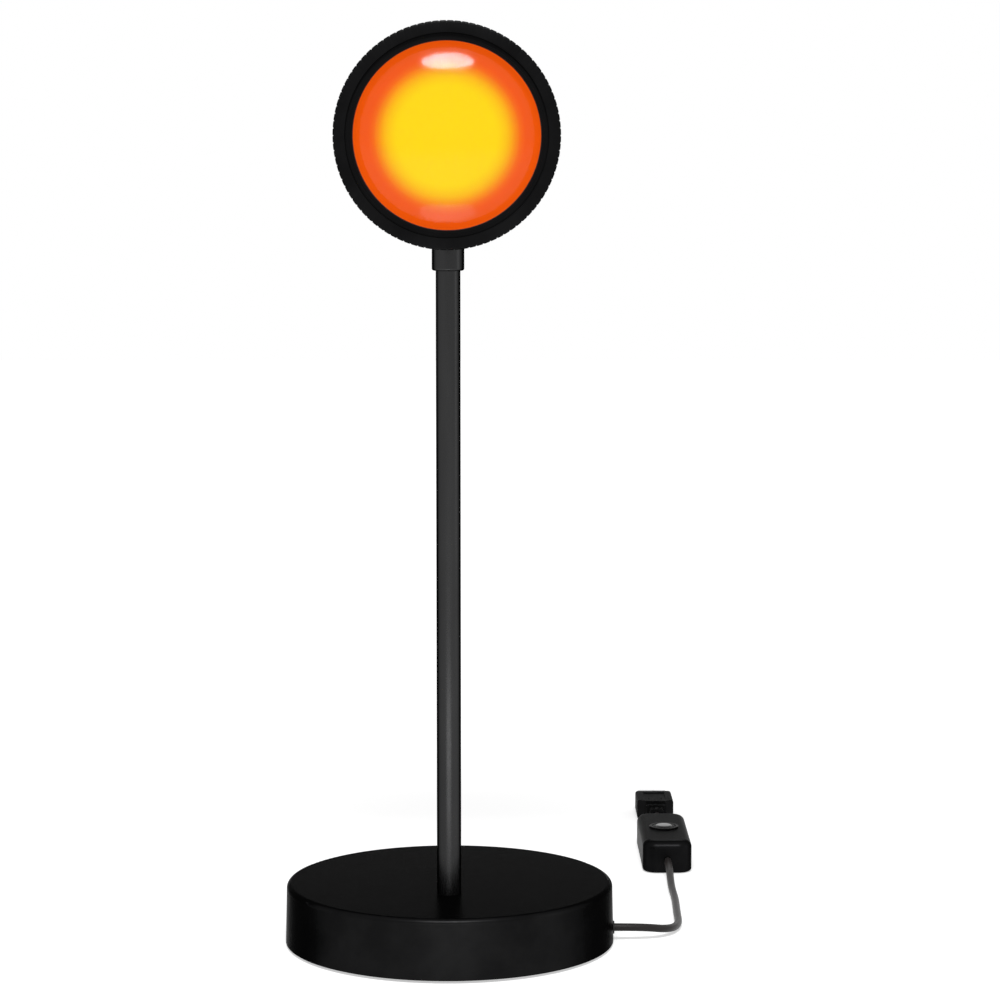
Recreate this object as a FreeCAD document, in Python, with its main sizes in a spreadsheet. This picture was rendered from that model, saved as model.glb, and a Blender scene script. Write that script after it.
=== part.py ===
import FreeCAD, Part
import os
import re
import math
import Sketcher

# Table lamp with a round projector head: weighted disc base, thin pole, swivel and tilt neck,
# barrel head with a big front lens in a knurled focus ring, USB cord with a push switch.
# The origin is on the floor under the middle of the base, +Z is up and the lens faces -Y.

# ---- sizes -------------------------------------------------------------------------------------
# Millimetres. Every number given a name here becomes a cell of the sheet under that name.
# base: foot pad, bottom plate, cast weight and spun cover
base_dia = 117.0
base_height = 22.0
base_draft = 0.5
base_wall = 1.2
base_edge = 1.8
rim_gap = 0.8
pad_inset = 2.0
pad_thick = 1.5
plate_gap = 2.3
plate_thick = 1.5
weight_gap = 3.3
weight_thick = 10.0
weight_web = 4.0
weight_well = 26.0
boss_dia = 9.0
boss_inset = 12.0
plate_screw_dia = 3.0
plate_screw_head = 5.5
plate_screw_long = 6.0
# cord's way into the base: grommet, sheath, clip
cord_dia = 2.8
cord_exit = 4.8
grommet_dia = 4.6
grommet_lip = 0.8
grommet_lip_thick = 1.1
tail_inside = 13.5
clip_inset = 1.0
clip_long = 8.0
clip_side = 6.0
clip_ear = 3.0
clip_wall = 1.4
clip_cover = 1.0
clip_screw_dia = 2.5
clip_screw_head = 4.6
clip_screw_head_thick = 1.6
lead_dia = 1.6
# pole and its fixing; it stands forward of the middle of the base
pole_forward = 19.0
tube_dia = 8.5
tube_shoulder = 0.55
tube_wall = 0.65
tube_tail = 12.0
washer_dia = 20.0
washer_thick = 1.2
nut_flats = 12.0
nut_thick = 4.0
# swivel and tilt neck
head_height = 286.0
neck_wall = 1.3
neck_socket = 4.4
neck_web = 1.4
neck_edge = 0.8
chamber_gap = 0.3
bush_lip = 1.35
bush_lip_thick = 1.0
bush_long = 8.0
bush_bore = 3.2
wave_washer = 0.4
fork_spigot = 1.6
fork_base = 0.5
ear_round = 5.0
ear_cut = 0.8
lug_gap = 0.4
lug_thick = 4.4
pivot_gap = 7.0
pivot_dia = 2.5
pivot_head = 4.6
pivot_head_thick = 1.6
pivot_nut_flats = 5.0
pivot_nut_thick = 2.0
friction_dia = 7.0
friction_thick = 0.5
# focus ring, lengths counted forward of the pole
ring_dia = 76.0
ring_front = 30.5
ring_deep = 14.0
ring_wall = 2.4
ring_lip = 2.0
ring_bevel = 0.5
knurl_count = 96
knurl_cutter = 2.6
knurl_deep = 0.4
snap_thick = 0.8
snap_groove = 0.5
snap_mouth = 6.0
# barrel
sleeve_wall = 1.2
sleeve_gap = 0.5
shoulder_gap = 0.8
shoulder_thick = 1.2
shoulder_step = 0.4
barrel_dia = 49.0
barrel_wall = 1.6
taper_back = 7.0
taper_wall = 1.2
barrel_back = 14.0
# heat sink
sink_seat = 8.0
sink_flange = 2.0
fin_count = 3
fin_core = 24.0
fin_thick = 1.2
fin_pitch = 2.8
sink_boss = 8.4
sink_screw_inset = 3.9
sink_screw_dia = 3.0
sink_screw_head = 5.2
sink_screw_head_thick = 1.8
sink_screw_grip = 5.4
sink_pilot_deep = 6.0
sink_access = 0.7
# light engine
board_gap = 0.8
board_thick = 1.6
board_screw_inset = 3.0
board_screw_dia = 2.0
board_screw_head = 3.6
board_screw_head_thick = 1.2
board_screw_long = 6.0
board_pilot_deep = 5.0
emitter_gap = 2.45
emitter_thick = 1.0
holder_gap = 0.2
holder_wall = 1.6
holder_rim = 0.9
holder_tall = 8.4
holder_recess = 2.0
condenser_edge = 1.5
condenser_land = 0.3
condenser_sag = 4.0
lead_back = 2.9
# lens cell
lens_edge = 2.5
lens_sag = 8.0
lens_recess = 1.2
filter_thick = 1.0
gasket_thick = 0.6
retainer_long = 2.2
retainer_lip = 0.8
cell_wall = 1.3
cell_flange = 1.0
cell_gap = 0.7
cell_step = 0.4
filter_ledge = 1.4
filter_ledge_thick = 1.6
key_wide = 2.0
key_tall = 0.7
# in-line switch, stacked from its floor to its cover
switch_x = 84.0
switch_start = 104.1
switch_wide = 19.2
switch_long = 55.7
switch_split = 5.0
switch_wall = 1.5
switch_corner = 5.5
switch_base_edge = 1.2
switch_cover_edge = 2.8
ledge_spot = 9.0
ledge_wide = 2.0
ledge_tall = 1.5
switch_board_thick = 1.2
switch_board_wide = 12.0
switch_board_long = 26.0
latch_side = 8.4
latch_tall = 1.8
plunger_dia = 3.0
plunger_tall = 0.9
plunger_gap = 0.2
button_dia = 6.6
button_flange = 8.4
button_flange_thick = 1.4
button_travel = 1.5
button_rise = 0.4
button_edge = 0.4
bezel_dia = 11.7
bezel_groove = 9.0
bezel_groove_wide = 0.5
bezel_groove_deep = 0.25
bezel_rise = 0.6
bezel_step = 1.1
bezel_sleeve = 2.4
spring_dia = 5.2
spring_wire = 0.3
spring_turns = 2.5
switch_screw_across = 5.0
switch_screw_along = 20.0
switch_screw_dia = 2.0
switch_screw_head = 3.8
switch_screw_head_thick = 1.0
switch_screw_long = 8.0
switch_screw_sunk = 0.2
switch_post_wall = 1.2
# plug
cord_between = 31.9
plug_aside = 0.5
plug_axis = 4.2
relief_long = 5.2
relief_wide = 6.1
relief_narrow = 5.3
relief_edge = 1.0
relief_window_wide = 1.5
relief_window_tall = 1.3
relief_window_deep = 0.7
relief_window_aside = 1.35
relief_window_first = 0.8
relief_window_pitch = 2.1
plug_neck_wide = 8.3
plug_neck_thick = 6.4
plug_neck_long = 4.2
plug_taper_long = 2.6
plug_wide = 15.2
plug_long = 18.2
plug_thick = 8.4
plug_edge = 1.2
panel_wide = 8.9
panel_near = 3.3
panel_far = 14.6
panel_deep = 0.4
dimple_dia = 0.9
dimple_deep = 0.3
dimple_aside = 2.6
dimple_back = 16.7
shell_wide = 12.0
shell_thick = 4.5
shell_out = 11.6
shell_in = 6.0
shell_wall = 0.3
shell_edge = 0.6
shell_window_wide = 2.8
shell_window_aside = 2.15
shell_window_near = 4.8
shell_window_far = 6.9
seam_wide = 0.18
seam_jog = 1.05
seam_jog_first = 1.6
seam_jog_second = 9.0
seam_jog_first_end = 3.3
seam_jog_second_end = 10.9
tongue_thick = 1.85
tongue_recess = 0.4
contact_wide = 1.0
contact_thick = 0.2
contact_inner = 2.0
contact_outer = 7.0
contact_recess = 2.2
# clearances
fit = 0.05
slide_fit = 0.2
thread_gap = 0.3

sizes = {name: number for name, number in dict(globals()).items()
         if isinstance(number, (int, float)) and not name.startswith("_")}
worked_out = {}

doc = FreeCAD.newDocument("projection_lamp")
sheet = doc.addObject("Spreadsheet::Sheet", "Sizes")
for row, (name, number) in enumerate(sizes.items(), 1):
    sheet.set("A%d" % row, name)
    sheet.set("B%d" % row, str(number))
    sheet.setAlias("B%d" % row, name)
doc.recompute()


# ---- helpers for formulas, sketches and features -----------------------------------------------
def bound(formula):
    """A formula as the sheet wants it: its sizes by their cells, worked-out sizes written in full."""
    def full(word):
        name = word.group(0)
        if name in worked_out:
            return worked_out[name]
        return "Sizes." + name if name in sizes else name
    return re.sub(r"[a-z]\w*", full, str(formula))


def derive(name, formula):
    """Name a size that is worked out from the sheet's, for use in later formulas."""
    worked_out[name] = "(%s)" % bound(formula)


def value(formula):
    """The number a formula gives with the sizes as they are now."""
    return float(sheet.evalExpression(bound(formula)))


def new_body(label, x="0", y="0", z="0", turn=None):
    """A PartDesign body at a place given by formulas, turned about an axis by degrees."""
    body = doc.addObject("PartDesign::Body", label)
    body.Label = label
    if turn:
        spun = FreeCAD.Rotation(FreeCAD.Vector(*turn[0]), turn[1])
        body.Placement = FreeCAD.Placement(FreeCAD.Vector(), spun)
    for letter, formula in (("x", x), ("y", y), ("z", z)):
        if formula != "0":
            body.setExpression("Placement.Base." + letter, bound(formula))
    return body


FORWARD = ((1, 0, 0), 90)
SIDEWAYS = ((0, 1, 0), 90)


def pole_body(label, z="0", turn=None):
    """A body on the pole's axis."""
    return new_body(label, y="-pole_forward", z=z, turn=turn)


def head_body(label):
    """A body of the head: its own Z points forward out of the lens, its Y points up."""
    return pole_body(label, "head_height", FORWARD)


def origin_feature(body, role):
    """One of a body's own planes or axes."""
    return [item for item in body.Origin.OriginFeatures if item.Role == role][0]


def new_sketch(body, name, role="XY_Plane", lift="0"):
    """A sketch on one of the body's own planes, lifted along that plane's normal."""
    sketch = body.newObject("Sketcher::SketchObject", name)
    sketch.AttachmentSupport = [(origin_feature(body, role), "")]
    sketch.MapMode = "FlatFace"
    if lift != "0":
        sketch.setExpression("AttachmentOffset.Base.z", bound(lift))
    return sketch


def hold(sketch, kind, formula, *where):
    """Add a constraint whose number is a formula."""
    index = sketch.addConstraint(Sketcher.Constraint(kind, *where, value(formula)))
    sketch.setExpression("Constraints[%d]" % index, bound(formula))


def pin(sketch, geometry, end, across, up):
    """Hold one point of a sketch at two formulas from the origin."""
    for kind, formula, axis in (("DistanceX", across, -2), ("DistanceY", up, -1)):
        if formula == "0":
            sketch.addConstraint(Sketcher.Constraint("PointOnObject", geometry, end, axis))
        else:
            hold(sketch, kind, formula, -1, 1, geometry, end)


def polygon(sketch, corners, bends=None):
    """A closed outline through corners given as pairs of formulas.

    bends[i] makes the side after corner i an arc: (centre across, centre up, turning left, held way).
    """
    bends = bends or {}
    spots = [FreeCAD.Vector(value(across), value(up), 0) for across, up in corners]
    count = len(spots)
    sides = []
    for i in range(count):
        start, stop = spots[i], spots[(i + 1) % count]
        if i in bends:
            across, up, leftward, held = bends[i]
            middle = FreeCAD.Vector(value(across), value(up), 0)
            first = math.atan2(start.y - middle.y, start.x - middle.x)
            last = math.atan2(stop.y - middle.y, stop.x - middle.x)
            ends = (1, 2) if leftward else (2, 1)
            if not leftward:
                first, last = last, first
            if last < first:
                last += 2 * math.pi
            whole = Part.Circle(middle, FreeCAD.Vector(0, 0, 1), (start - middle).Length)
            arc = sketch.addGeometry(Part.ArcOfCircle(whole, first, last), False)
            sides.append((arc, ends[0], ends[1]))
        else:
            sides.append((sketch.addGeometry(Part.LineSegment(start, stop), False), 1, 2))
    for i in range(count):
        piece, first, last = sides[i]
        following = sides[(i + 1) % count]
        sketch.addConstraint(Sketcher.Constraint("Coincident", piece, last, following[0], following[1]))
    for i in range(count):
        pin(sketch, sides[i][0], sides[i][1], corners[i][0], corners[i][1])
    for i in bends:
        across, up, leftward, held = bends[i]
        hold(sketch, held, across if held == "DistanceX" else up, -1, 1, sides[i][0], 3)


def circle(sketch, across, up, diameter):
    """A circle whose centre and diameter are formulas."""
    middle = FreeCAD.Vector(value(across), value(up), 0)
    ring = sketch.addGeometry(Part.Circle(middle, FreeCAD.Vector(0, 0, 1), value(diameter) / 2), False)
    pin(sketch, ring, 3, across, up)
    hold(sketch, "Diameter", diameter, ring)


def box_outline(sketch, left, right, low, high):
    """A plain rectangle from four formulas."""
    polygon(sketch, [(left, low), (right, low), (right, high), (left, high)])


def rounded_box(sketch, wide, tall, corner):
    """A rectangle about the origin with rounded corners, its three sizes as formulas."""
    w, t, c = value(wide) / 2, value(tall) / 2, value(corner)
    up = FreeCAD.Vector(0, 0, 1)
    ends = [((c - w, -t), (w - c, -t)), ((w, c - t), (w, t - c)),
            ((w - c, t), (c - w, t)), ((-w, t - c), (-w, c - t))]
    middles = [(w - c, c - t), (w - c, t - c), (c - w, t - c), (c - w, c - t)]
    sides = []
    bends = []
    for i in range(4):
        start, stop = ends[i]
        side = Part.LineSegment(FreeCAD.Vector(*start, 0), FreeCAD.Vector(*stop, 0))
        sides.append(sketch.addGeometry(side, False))
        turn = math.pi / 2 * (i - 1)
        whole = Part.Circle(FreeCAD.Vector(*middles[i], 0), up, c)
        bends.append(sketch.addGeometry(Part.ArcOfCircle(whole, turn, turn + math.pi / 2), False))
    for i in range(4):
        sketch.addConstraint(Sketcher.Constraint("Tangent", sides[i], 2, bends[i], 1))
        sketch.addConstraint(Sketcher.Constraint("Tangent", bends[i], 2, sides[(i + 1) % 4], 1))
        sketch.addConstraint(Sketcher.Constraint("Vertical" if i % 2 else "Horizontal", sides[i]))
    for i in range(1, 4):
        sketch.addConstraint(Sketcher.Constraint("Equal", bends[0], bends[i]))
    hold(sketch, "DistanceY", "-(%s) / 2" % tall, -1, 1, sides[0], 1)
    hold(sketch, "DistanceX", "(%s) / 2" % wide, -1, 1, sides[1], 1)
    hold(sketch, "DistanceY", "(%s) / 2" % tall, -1, 1, sides[2], 1)
    hold(sketch, "DistanceX", "-(%s) / 2" % wide, -1, 1, sides[3], 1)
    hold(sketch, "Radius", corner, bends[0])


def spin(body, name, corners, beside="0", kind="Revolution", bends=None):
    """Turn an outline of radius and height pairs about an upright axis, beside the body's Z by a formula."""
    sketch = new_sketch(body, name + "_outline", "XZ_Plane")
    axis = "V_Axis"
    if beside != "0":
        corners = [("%s + (%s)" % (beside, across), up) for across, up in corners]
        axis = "Axis0"
    polygon(sketch, corners, bends)
    if beside != "0":
        foot = FreeCAD.Vector(value(beside), 0, 0)
        line = sketch.addGeometry(Part.LineSegment(foot, foot + FreeCAD.Vector(0, 1, 0)), True)
        pin(sketch, line, 1, beside, "0")
        pin(sketch, line, 2, beside, "1")
    feature = body.newObject("PartDesign::" + kind, name)
    feature.Profile = sketch
    feature.ReferenceAxis = (sketch, [axis])
    feature.Angle = 360
    return feature


def pad(body, name, sketch, length, both=False):
    """Push a sketch out along its normal by a formula, or half each way."""
    feature = body.newObject("PartDesign::Pad", name)
    feature.Profile = sketch
    feature.setExpression("Length", bound(length))
    feature.Midplane = both
    return feature


def cut(body, name, sketch, length, onward=False, both=False):
    """Cut a sketch away by a formula, against its normal or onward along it."""
    feature = body.newObject("PartDesign::Pocket", name)
    feature.Profile = sketch
    feature.setExpression("Length", bound(length))
    feature.Reversed = onward
    feature.Midplane = both
    return feature


def round_about(body, name, feature, count):
    """Repeat a feature in a full circle about the body's own Z axis."""
    pattern = body.newObject("PartDesign::PolarPattern", name)
    pattern.Originals = [feature]
    pattern.Axis = (origin_feature(body, "Z_Axis"), [""])
    pattern.Angle = 360
    pattern.setExpression("Occurrences", bound(count))
    body.Tip = pattern
    return pattern


def soften(body, name, base, chosen, radius):
    """Round the edges of the last feature for which chosen(edge) is true."""
    doc.recompute()
    edges = ["Edge%d" % (i + 1) for i, edge in enumerate(base.Shape.Edges) if chosen(edge)]
    feature = body.newObject("PartDesign::Fillet", name)
    feature.Base = (base, edges)
    feature.setExpression("Radius", bound(radius))
    return feature


def near(number, formula):
    """True when a number is the value of a formula."""
    return abs(number - value(formula)) < 1e-4


def ring_edge(edge, diameter, height):
    """True for a full circular edge of this diameter at this height."""
    curve = edge.Curve
    return isinstance(curve, Part.Circle) and near(2 * curve.Radius, diameter) and near(curve.Center.z, height)


def washer(body, name, bore, outer, low, high):
    """A plain ring between two heights."""
    return spin(body, name, [("(%s) / 2" % bore, low), ("(%s) / 2" % outer, low),
                             ("(%s) / 2" % outer, high), ("(%s) / 2" % bore, high)])


def pan_screw(body, name, shank, head, seat, head_thick, long, beside="0"):
    """A headed screw with the underside of its head at seat and its shank reaching down from there."""
    tip = "%s - (%s)" % (seat, long)
    top = "%s + %s" % (seat, head_thick)
    return spin(body, name, [("0", tip), ("(%s) / 2" % shank, tip), ("(%s) / 2" % shank, seat),
                             ("(%s) / 2" % head, seat), ("(%s) / 2" % head, top), ("0", top)], beside)


def bore(body, name, across, up, diameter, depth, role="XY_Plane", lift="0", onward=False, both=False):
    """Drill a round hole from a plane of the body."""
    sketch = new_sketch(body, name + "_circle", role, lift)
    circle(sketch, across, up, diameter)
    return cut(body, name, sketch, depth, onward, both)


def hexagon(body, name, flats, bore_dia, low, thick):
    """A hexagon nut: six flats about a round bore."""
    sketch = new_sketch(body, name + "_outline", "XY_Plane", low)
    polygon(sketch, [("%s / 2 / cos(30) * cos(%d)" % (flats, 60 * i + 30),
                      "%s / 2 / cos(30) * sin(%d)" % (flats, 60 * i + 30)) for i in range(6)])
    pad(body, name, sketch, thick)
    return bore(body, name + "_hole", "0", "0", bore_dia, thick, lift=low, onward=True)


def domed(body, name, radius, back, edge_front, dome, sag):
    """A plano-convex lens: flat back, a rim with a flat land and a dome of the given rise."""
    apex = "%s + %s" % (edge_front, sag)
    curve = "((%s)^2 + (%s)^2) / (2 * (%s))" % (dome, sag, sag)
    return spin(body, name, [("0", back), (radius, back), (radius, edge_front), (dome, edge_front), ("0", apex)],
                bends={3: ("0", "%s - %s" % (apex, curve), True, "DistanceX")})


def routed(label, points, diameter, radius_share=0.45):
    """A cord along straight runs joined by tangent arcs, round in section."""
    spots = [FreeCAD.Vector(*[value(number) for number in point]) for point in points]
    pieces = []
    last = spots[0]
    for before, corner, after in zip(spots, spots[1:], spots[2:]):
        toward = (before - corner).normalize()
        away = (after - corner).normalize()
        reach = radius_share * min((before - corner).Length, (after - corner).Length)
        bisector = (toward + away).normalize()
        half = (math.pi - toward.getAngle(away)) / 2
        radius = reach / math.tan(half)
        start = corner + toward * reach
        stop = corner + away * reach
        middle = corner + bisector * (radius / math.cos(half) - radius)
        pieces.append(Part.LineSegment(last, start).toShape())
        pieces.append(Part.Arc(start, middle, stop).toShape())
        print(label, "bend radius %.1f" % radius)
        last = stop
    pieces.append(Part.LineSegment(last, spots[-1]).toShape())
    route = Part.Wire(pieces)
    first = (spots[1] - spots[0]).normalize()
    section = Part.Wire([Part.Circle(spots[0], first, value(diameter) / 2).toShape()])
    tube = route.makePipeShell([section], True, False)
    cord = doc.addObject("Part::Feature", label)
    cord.Label = label
    cord.Shape = tube
    ideal = math.pi * (value(diameter) / 2) ** 2 * route.Length
    print(label, "length %.1f, volume ratio %.4f" % (route.Length, tube.Volume / ideal))
    return cord


def coil_spring(label, across, along, low, high, radius, wire, turns):
    """An open coil of round wire between two heights, swept along arcs of a quarter turn."""
    bottom = value(low) + value(wire) / 2
    rise = value(high) - value(low) - value(wire)
    steps = 2 * round(4 * value(turns))
    points = []
    for i in range(steps + 1):
        angle = math.pi / 4 * i
        points.append(FreeCAD.Vector(value(radius) * math.cos(angle), value(radius) * math.sin(angle),
                                     bottom + rise * i / steps))
    arcs = [Part.Arc(points[i], points[i + 1], points[i + 2]) for i in range(0, steps, 2)]
    start = arcs[0].tangent(arcs[0].FirstParameter)[0]
    section = Part.Wire([Part.Circle(points[0], start, value(wire) / 2).toShape()])
    coil = doc.addObject("Part::Feature", label)
    coil.Label = label
    coil.Shape = Part.Wire([arc.toShape() for arc in arcs]).makePipeShell([section], True, False)
    coil.Placement = FreeCAD.Placement(FreeCAD.Vector(value(across), value(along), 0), FreeCAD.Rotation())
    return coil


# ---- base --------------------------------------------------------------------------------------
# Soft round pad the lamp stands on, glued under the bottom plate.
derive("plate_dia", "base_dia - 2 * base_wall - 2 * plate_gap")
derive("pad_dia", "plate_dia - 2 * pad_inset")
foot_pad = new_body("foot_pad")
spin(foot_pad, "foot_pad_disc", [("0", "0"), ("pad_dia / 2", "0"), ("pad_dia / 2", "pad_thick"), ("0", "pad_thick")])

# Steel bottom plate with three countersunk holes and the hole of the cord clip's screw.
derive("plate_top", "pad_thick + plate_thick")
derive("weight_dia", "base_dia - 2 * base_wall - 2 * weight_gap")
derive("boss_spot", "weight_dia / 2 - boss_inset")
derive("tail_start", "base_dia / 2 - tail_inside")
derive("clip_start", "tail_start + clip_inset")
bottom_plate = new_body("bottom_plate")
spin(bottom_plate, "bottom_plate_disc", [("0", "pad_thick"), ("plate_dia / 2", "pad_thick"),
                                         ("plate_dia / 2", "plate_top"), ("0", "plate_top")])
countersink = spin(bottom_plate, "bottom_plate_countersink",
                   [("0", "pad_thick"), ("plate_screw_head / 2 + fit", "pad_thick"),
                    ("plate_screw_dia / 2 + fit", "plate_top"), ("0", "plate_top")], "-boss_spot", "Groove")
round_about(bottom_plate, "bottom_plate_three", countersink, "3")
bore(bottom_plate, "bottom_plate_clip_hole", "clip_start + clip_long / 2", "clip_side", "clip_screw_dia + 2 * fit",
     "plate_thick", lift="pad_thick", onward=True)

# Three countersunk screws hold the plate to the bosses of the weight.
plate_screws = new_body("plate_screws")
one_screw = spin(plate_screws, "plate_screw",
                 [("0", "pad_thick"), ("plate_screw_head / 2", "pad_thick"), ("plate_screw_dia / 2", "plate_top"),
                  ("plate_screw_dia / 2", "plate_top + plate_screw_long"), ("0", "plate_top + plate_screw_long")],
                 "-boss_spot")
round_about(plate_screws, "plate_screws_three", one_screw, "3")

# Cast iron weight: a disc with a well for the pole's nut and three bosses down to the plate.
derive("tube_thread", "tube_dia - 2 * tube_shoulder")
derive("weight_top", "base_height - base_wall")
derive("weight_low", "weight_top - weight_thick")
derive("web_low", "weight_top - weight_web")
base_weight = new_body("base_weight")
spin(base_weight, "weight_disc", [("0", "weight_low"), ("weight_dia / 2", "weight_low"),
                                  ("weight_dia / 2", "weight_top"), ("0", "weight_top")])
bore(base_weight, "weight_nut_well", "0", "-pole_forward", "weight_well", "web_low - weight_low",
     lift="weight_low", onward=True)
bore(base_weight, "weight_pole_hole", "0", "-pole_forward", "tube_thread + 4 * fit", "weight_web", lift="weight_top")
boss_plan = new_sketch(base_weight, "weight_boss_circle", lift="plate_top")
circle(boss_plan, "-boss_spot", "0", "boss_dia")
boss = pad(base_weight, "weight_boss", boss_plan, "weight_low - plate_top")
round_about(base_weight, "weight_bosses", boss, "3")
pilot = bore(base_weight, "weight_pilot", "-boss_spot", "0", "plate_screw_dia + 2 * fit",
             "plate_screw_long + 2 * thread_gap", lift="plate_top", onward=True)
round_about(base_weight, "weight_pilots", pilot, "3")

# Spun steel cover, closed on top round the pole, its rim just clear of the floor.
derive("top_radius", "base_dia / 2 - base_draft")
base_shell = new_body("base_shell")
cover = spin(base_shell, "shell_spun", [("base_dia / 2 - base_wall", "rim_gap"), ("base_dia / 2", "rim_gap"),
                                        ("top_radius", "base_height"), ("0", "base_height"), ("0", "weight_top"),
                                        ("top_radius - base_wall", "weight_top")])
outer_round = soften(base_shell, "shell_top_edge", cover,
                     lambda edge: ring_edge(edge, "2 * top_radius", "base_height"), "base_edge")
soften(base_shell, "shell_inner_edge", outer_round,
       lambda edge: ring_edge(edge, "2 * top_radius - 2 * base_wall", "weight_top"), "base_edge - base_wall")
bore(base_shell, "shell_pole_hole", "0", "-pole_forward", "tube_thread + 2 * fit", "base_wall", lift="base_height")
bore(base_shell, "shell_cord_hole", "0", "cord_exit", "grommet_dia + 2 * fit", "base_dia", "YZ_Plane", onward=True)

# Rubber grommet in the cover's wall, flanged inside.
derive("grommet_back", "base_dia / 2 - base_wall - 4 * fit - grommet_lip_thick")
derive("grommet_face", "base_dia / 2 + thread_gap")
cord_grommet = new_body("cord_grommet", z="cord_exit", turn=SIDEWAYS)
spin(cord_grommet, "grommet_turned", [
    ("cord_dia / 2 + fit", "grommet_back"), ("grommet_dia / 2 + grommet_lip", "grommet_back"),
    ("grommet_dia / 2 + grommet_lip", "grommet_back + grommet_lip_thick"),
    ("grommet_dia / 2", "grommet_back + grommet_lip_thick"), ("grommet_dia / 2", "grommet_face"),
    ("cord_dia / 2 + fit", "grommet_face")])

# Last stretch of the cord's sheath, inside the base.
cord_tail = new_body("cord_tail", z="cord_exit", turn=SIDEWAYS)
spin(cord_tail, "tail_sheath", [("0", "tail_start"), ("cord_dia / 2", "tail_start"),
                                ("cord_dia / 2", "grommet_face"), ("0", "grommet_face")])

# Saddle clip that grips the sheath on the bottom plate, with its screw.
derive("clip_top", "cord_exit + cord_dia / 2 + clip_cover")
derive("clip_half", "cord_dia / 2 + clip_wall")
derive("clip_ear_top", "plate_top + clip_wall")
cord_clip = new_body("cord_clip")
clip_view = new_sketch(cord_clip, "clip_outline", "YZ_Plane", "clip_start")
polygon(clip_view, [("-clip_half", "plate_top"), ("clip_side + clip_ear", "plate_top"),
                    ("clip_side + clip_ear", "clip_ear_top"), ("clip_half", "clip_ear_top"),
                    ("clip_half", "clip_top"), ("-clip_half", "clip_top")])
pad(cord_clip, "clip_block", clip_view, "clip_long")
bore(cord_clip, "clip_cord_hole", "0", "cord_exit", "cord_dia + 2 * fit", "base_dia", "YZ_Plane", onward=True)
bore(cord_clip, "clip_screw_hole", "clip_start + clip_long / 2", "clip_side", "clip_screw_dia + 2 * fit", "clip_wall",
     lift="plate_top", onward=True)
clip_screw = new_body("clip_screw", x="clip_start + clip_long / 2", y="clip_side")
pan_screw(clip_screw, "clip_screw_turned", "clip_screw_dia", "clip_screw_head", "clip_ear_top",
          "clip_screw_head_thick", "plate_thick + clip_wall")

# ---- pole --------------------------------------------------------------------------------------
# The neck's heights follow from the head's: the tilt pivot hangs below the barrel, the fork and the
# swivel's stack lie below that, and the tube ends inside the collar.
derive("pivot_z", "head_height - barrel_dia / 2 - pivot_gap")
derive("slot_low", "pivot_z - ear_round")
derive("collar_top", "slot_low - fork_base")
derive("neck_low", "collar_top - fork_spigot - slide_fit - bush_lip_thick - wave_washer - neck_web - neck_socket")
derive("tube_top", "neck_low + neck_socket")
derive("web_top", "tube_top + neck_web")
derive("flange_low", "web_top + wave_washer")
derive("flange_top", "flange_low + bush_lip_thick")
derive("spigot_low", "flange_top + slide_fit")
derive("tube_bore", "tube_thread - 2 * tube_wall")
derive("bush_flange", "tube_bore + 2 * bush_lip")
derive("chamber_dia", "bush_flange + 2 * chamber_gap")
derive("neck_dia", "tube_dia + 2 * fit + 2 * neck_wall")

# The tube stands on the cover by a shoulder; its thinner threaded tail takes a washer and a nut.
pole_tube = pole_body("pole_tube")
spin(pole_tube, "tube_turned", [
    ("tube_bore / 2", "base_height - tube_tail"), ("tube_thread / 2", "base_height - tube_tail"),
    ("tube_thread / 2", "base_height"), ("tube_dia / 2", "base_height"),
    ("tube_dia / 2", "tube_top"), ("tube_bore / 2", "tube_top")])
derive("washer_low", "web_low - washer_thick")
pole_washer = pole_body("pole_washer")
washer(pole_washer, "pole_washer_ring", "tube_thread + 4 * fit", "washer_dia", "washer_low", "web_low")
pole_nut = pole_body("pole_nut")
hexagon(pole_nut, "pole_nut_hex", "nut_flats", "tube_thread + 2 * fit", "washer_low - nut_thick", "nut_thick")

# Hollow flanged bush fixed in the tube's top: it keeps the swivel on the pole.
swivel_bush = pole_body("swivel_bush")
spin(swivel_bush, "bush_turned", [
    ("bush_bore / 2", "tube_top - bush_long"), ("tube_bore / 2", "tube_top - bush_long"),
    ("tube_bore / 2", "flange_low"), ("bush_flange / 2", "flange_low"),
    ("bush_flange / 2", "flange_top"), ("bush_bore / 2", "flange_top")])

# Thin lead from the sheath's end under the weight and up the whole pole.
lamp_lead = routed("lamp_lead", [
    ("tail_start", "0", "cord_exit"), ("tail_start - 14", "-1", "cord_exit"),
    ("tail_start - 28", "-pole_forward / 2", "cord_exit"), ("0", "-pole_forward", "cord_exit"),
    ("0", "-pole_forward", "flange_top")], "lead_dia")

# ---- swivel and tilt neck ----------------------------------------------------------------------
# Collar that turns on the tube's top, hung under the bush's flange with a wave washer between.
swivel_collar = pole_body("swivel_collar")
collar_turned = spin(swivel_collar, "collar_turned", [
    ("tube_dia / 2 + fit", "neck_low"), ("neck_dia / 2", "neck_low"), ("neck_dia / 2", "collar_top"),
    ("chamber_dia / 2", "collar_top"), ("chamber_dia / 2", "web_top"), ("tube_bore / 2 + fit", "web_top"),
    ("tube_bore / 2 + fit", "tube_top"), ("tube_dia / 2 + fit", "tube_top")])
soften(swivel_collar, "collar_foot_edge", collar_turned,
       lambda edge: ring_edge(edge, "neck_dia", "neck_low"), "neck_edge")
swivel_washer = pole_body("swivel_washer")
washer(swivel_washer, "swivel_washer_ring", "tube_bore + 6 * fit", "bush_flange + 4 * fit", "web_top", "flange_low")

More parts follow.
